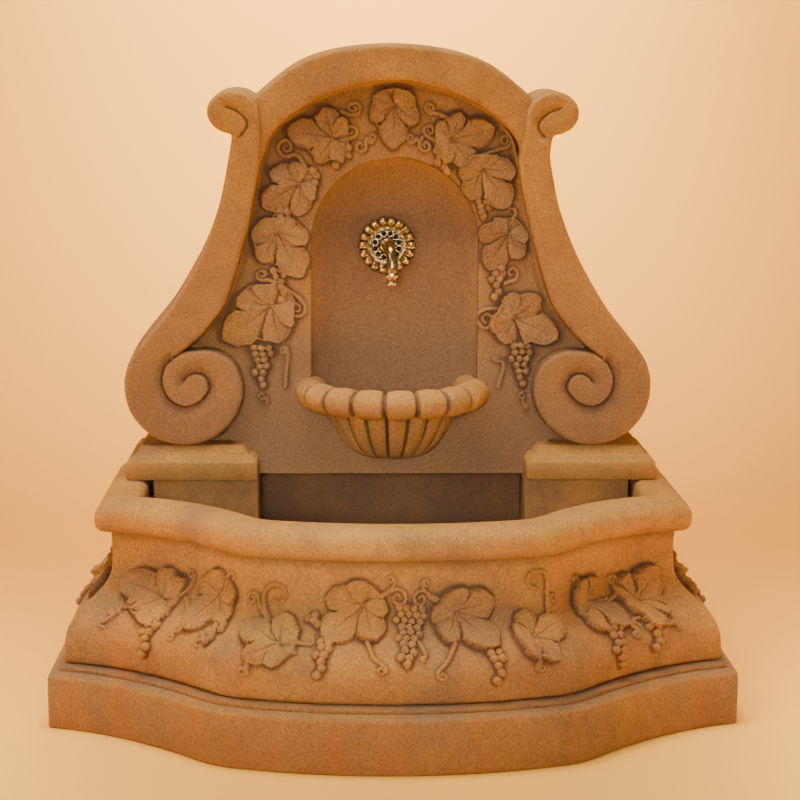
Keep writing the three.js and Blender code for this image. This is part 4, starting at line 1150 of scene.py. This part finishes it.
def bowl():
    """Lobed rim, fluted cup and hollow inside, swept round the axis of the bowl."""
    angles = np.linspace(-math.pi / 2 - 0.3, math.pi / 2 + 0.3, 430)
    s = np.abs(np.sin((angles - LOBE_TURN) * BOWL_LOBES / 2))
    lobe, crease = s ** 2, s ** 34
    section, shade = [], []

    def add_row(radius, z, dark):
        section.append((radius + 0 * angles, z + 0 * angles))
        shade.append(dark + 0 * angles)

    for radius, z in ((0.5, 441), (30, 443), (60, 453), (84, 470), (100, 486), (107, 496)):
        add_row(radius, z, 0.0)
    # The dark values are painted shade in the creases between the lobes and under the cup, with a faint
    # painted highlight on the lobes
    roll = 1 - 0.08 * lobe - 0.27 * crease
    for tilt in np.radians(np.arange(180, -141, -8)):
        add_row(BOWL_RADIUS + BOWL_ROLL * roll * math.cos(tilt),
                BOWL_RIM_Z + BOWL_ROLL_HALF * roll * math.sin(tilt), 0.1 * lobe + 1.5 * crease - 0.3)
    cup = smooth_curve([(115, 484), (111, 472), (106, 458), (99, 443), (90, 428), (79, 413), (68, 403.5),
                        (56, 398.5), (46, 397)], 4)
    for radius, z in cup:
        add_row(radius * (1 - 0.035 * lobe - 0.08 * crease), z + 2 * crease * radius / 114,
                0.1 * lobe + 1.5 * crease - 0.2)
    for radius, z in ((30, 396.5), (12, 396), (0.5, 396)):
        add_row(radius, z, 0.2)
    loops = np.stack([np.column_stack([r * np.sin(angles), FIELD_Y - r * np.cos(angles), z])
                      for r, z in section], axis=1)
    count = loops.shape[1]
    edges = [(i, (i + 1) % count) for i in range(count)]
    faces = loft_faces(count, len(angles))
    for k, turned in ((0, 1), (len(angles) - 1, -1)):
        flat = [Vector((float(r[k]), float(z[k]))) for r, z in section]
        _, _, triangles, *_ = delaunay_2d_cdt(flat, edges, [], 1, 1e-6)
        faces += [[k * count + i for i in triangle[::turned]] for triangle in triangles]
    hollow = np.clip(np.stack(shade, axis=1), -1, 1).ravel()
    return make_piece("bowl", loops.reshape(-1, 3), faces, "back_panel", bowl_stone, hollow)


def back_panel():
    panel_slab()
    field_skin("field_left", -1)
    field_skin("field_right", 1)
    side_frame("frame_left", -1)
    side_frame("frame_right", 1)
    arch_band()
    cap("cap_left", -1)
    cap("cap_right", 1)
    bowl()


def pier(name):
    bpy.ops.object.select_all(action="DESELECT")
    low, high = node_box(name)
    middle = (low + high) / 2 * MM
    bpy.ops.mesh.primitive_cube_add(size=1, location=middle)
    block = bpy.context.object
    block.name = name + "_block"
    block.scale = (high - low) * MM
    bpy.ops.object.transform_apply(location=True, rotation=True, scale=True)
    bevel = block.modifiers.new("arris", "BEVEL")
    bevel.width = 4 * MM
    bevel.segments = 3
    bpy.ops.object.modifier_apply(modifier=bevel.name)
    return finish_piece(block, name, pier_stone, math.radians(40))


# Brass
def round_bar(path, radius, sides, across, closed=False):
    """Rings of a round bar along a path that never runs in the direction across."""
    path = np.asarray(path, float)
    ahead = np.gradient(path, axis=0)
    if closed:
        ahead = np.roll(path, -1, axis=0) - np.roll(path, 1, axis=0)
    ahead = unit(ahead)
    side = unit(np.cross(ahead, across))
    other = np.cross(ahead, side)
    turn = np.linspace(0, 2 * math.pi, sides, endpoint=False)[:, None]
    return [p + radius * (np.cos(turn) * a + np.sin(turn) * b) for p, a, b in zip(path, side, other)]


def rosette():
    """A plate with a gadrooned border, a sunk ring and a raised middle."""
    angles = np.linspace(0, 2 * math.pi, ROSETTE_LOBES * 16, endpoint=False)
    lobes = np.abs(np.sin(angles * ROSETTE_LOBES / 2)) ** 6
    rows = [(0, 49, 0), (2, 50, 1), (6, 50.5, 1), (9.6, 49, 1), (12, 46.4, 1), (13, 43.2, 1), (12.6, 40, 1),
            (10.6, 37, 1), (8, 34.6, 0.7), (7, 33, 0.3), (6, 31, 0), (6.5, 29, 0), (6, 27, 0), (4.5, 26, 0),
            (4.5, 15, 0), (8, 13.5, 0), (12, 12.5, 0), (14.5, 10, 0), (15, 6, 0)]
    loops, shade = [], []
    for rise, radius, lobed in rows:
        reach = radius * (1 - 0.06 * lobed * lobes)
        drop = 3.0 * lobed * lobes
        loops.append(np.column_stack([SPOUT_X + reach * np.cos(angles), ROSETTE_Y - rise + drop * (rise > 5),
                                      SPOUT_Z + reach * np.sin(angles)]))
        sunk = 0.7 if 15 < radius < 30 and rise < 5 else 0
        shade.append(np.clip(lobed * (1.2 * lobes - 0.5) + sunk, -1, 1))
    points, faces = lofted(loops)
    hollow = np.append(np.concatenate(shade), [0, 0])
    return make_piece("rosette_plate", points, faces, "spout_rosette", brass, hollow)


def filigree():
    """Ring of small open loops of wire inside the gadrooned border."""
    points, faces = [], []
    turn = np.linspace(0, 2 * math.pi, 20, endpoint=False)
    radius = FILIGREE_RADIUS + 5.6 * np.cos(turn)
    for k in range(FILIGREE_LOOPS):
        angle = 2 * math.pi * (k + 0.5) / FILIGREE_LOOPS + 5.0 * np.sin(turn) / FILIGREE_RADIUS
        path = np.column_stack([SPOUT_X + radius * np.cos(angle), np.full(20, ROSETTE_Y - 6.5),
                                SPOUT_Z + radius * np.sin(angle)])
        wire = np.vstack(round_bar(path, 1.1, 6, (0.0, -1.0, 0.0), closed=True))
        faces += [[len(points) + i % len(wire) for i in face] for face in loft_faces(6, len(path) + 1)]
        points += list(wire)
    hollow = np.full(len(points), -0.6)
    return make_piece("rosette_filigree", points, faces, "spout_rosette", brass, hollow)


def spout():
    root = ROSETTE_Y - 15.6
    tip = (SPOUT_X + 7, root - 62, NOZZLE_FOOT + 14)
    path = smooth_curve([(SPOUT_X, root, SPOUT_Z), (SPOUT_X, root - 12, SPOUT_Z),
                         (SPOUT_X + 2, root - 34, SPOUT_Z + 3), (SPOUT_X + 5, root - 54, SPOUT_Z - 6),
                         (tip[0], tip[1], SPOUT_Z - 26), tip], 2.0)
    points, faces = lofted(round_bar(path, 9.0, 24, (1.0, 0.0, 0.0)))
    make_piece("spout_pipe", points, faces, "spout", brass)
    profile = [(3, 12), (6, 11), (6, 0.6), (6.6, 0), (9, 0), (9.5, 0.6), (9.5, 6), (8.6, 6.8), (8.6, 8.4),
               (9.5, 9.2), (9.5, 13), (10, 14), (13, 14), (13.5, 14.6), (13.5, 17.4), (13, 18), (10.5, 19),
               (9.6, 21)]
    turn = np.linspace(0, 2 * math.pi, 36, endpoint=False)
    rings = [np.column_stack([tip[0] + r * np.cos(turn), tip[1] + r * np.sin(turn),
                              np.full(36, NOZZLE_FOOT + rise)]) for r, rise in profile]
    points, faces = lofted(rings)
    return make_piece("spout_nozzle", points, faces, "spout", brass)


# Stage
def stage():
    material, tree, shader = new_material("backdrop_paper", 0.9)
    shader.inputs["Base Color"].default_value = PAPER
    shader.inputs["Specular IOR Level"].default_value = 0.1
    behind = add_node(tree, "ShaderNodeNewGeometry").outputs["Backfacing"]
    tree.links.new(combine(tree, 1.0, behind, "SUBTRACT"), shader.inputs["Alpha"])
    turn = np.linspace(0, math.pi / 2, 16)
    sweep = [(1.2 + 1.2 * math.sin(a), 1.2 - 1.2 * math.cos(a)) for a in turn]
    profile = [(-1.5, 0.0), (1.2, 0.0)] + sweep + [(2.4, 3.0)]
    points = [(x, y, z) for y, z in profile for x in (-3, 3)]
    faces = [(2 * k, 2 * k + 1, 2 * k + 3, 2 * k + 2) for k in range(len(profile) - 1)]
    mesh = bpy.data.meshes.new("backdrop")
    mesh.from_pydata(points, [], faces)
    mesh.materials.append(material)
    paper = bpy.data.objects.new("backdrop", mesh)
    bpy.context.collection.objects.link(paper)
    select_only(paper)
    bpy.ops.object.shade_smooth()


def soft_light(name, place, target, size, power, colour, spread_angle=180):
    light = bpy.data.lights.new(name, "AREA")
    light.shape = "DISK"
    light.size = size
    light.energy = power
    light.color = colour
    light.spread = math.radians(spread_angle)
    lamp = bpy.data.objects.new(name, light)
    lamp.location = place
    lamp.rotation_euler = (Vector(target) - Vector(place)).to_track_quat("-Z", "Y").to_euler()
    bpy.context.collection.objects.link(lamp)


def lights():
    soft_light("key", (-2.8, -2.3, 2.7), (0, 0, 0.5), 0.7, 26, (1.0, 0.95, 0.88))
    soft_light("fill", (2.8, -2.6, 1.6), (0, 0, 0.5), 1.6, 5.5, (1.0, 0.95, 0.9))
    soft_light("front", (-0.9, -3.1, 1.2), (0, 0.2, 0.4), 0.9, 5, (1.0, 0.95, 0.9))
    soft_light("middle", (-0.3, -3.2, 1.15), (0, 0.25, 0.34), 0.5, 1.6, (1.0, 0.96, 0.92), 26)
    soft_light("top", (-0.3, -0.1, 3.2), (0, -0.1, 0.2), 1.6, 125, (1.0, 0.93, 0.78))
    soft_light("floor_left", (-2.2, -0.6, 1.5), (-2.0, -0.5, 0), 1.1, 92, (1.0, 0.94, 0.78), 80)
    soft_light("floor_right", (2.2, -0.6, 1.5), (2.0, -0.5, 0), 1.1, 102, (1.0, 0.94, 0.78), 80)
    soft_light("backdrop_light", (0.0, 1.2, 2.4), (0, 2.4, 1.7), 1.6, 70, (1.0, 0.93, 0.78), 110)
    world = bpy.context.scene.world or bpy.data.worlds.new("studio")
    bpy.context.scene.world = world
    world.use_nodes = True
    background = world.node_tree.nodes["Background"]
    background.inputs["Color"].default_value = (1.0, 0.92, 0.82, 1)
    background.inputs["Strength"].default_value = 0.13


def camera():
    lens = bpy.data.cameras.new("camera")
    lens.sensor_width = 36
    lens.lens = 80.685
    seen = bpy.data.objects.new("camera", lens)
    right = Vector((0.99944, -0.03294, 0.00578)).normalized()
    ahead = Vector((0.03344, 0.98438, -0.17284)).normalized()
    up = right.cross(ahead).normalized()
    turned = Matrix((right, up, -ahead)).transposed().to_4x4()
    seen.matrix_world = Matrix.Translation((-0.0892, -2.8603, 1.0258)) @ turned
    bpy.context.collection.objects.link(seen)
    bpy.context.scene.camera = seen


camera()
basin()
back_panel()
pier("pier_left")
pier("pier_right")
rosette()
filigree()
spout()
stage()
lights()
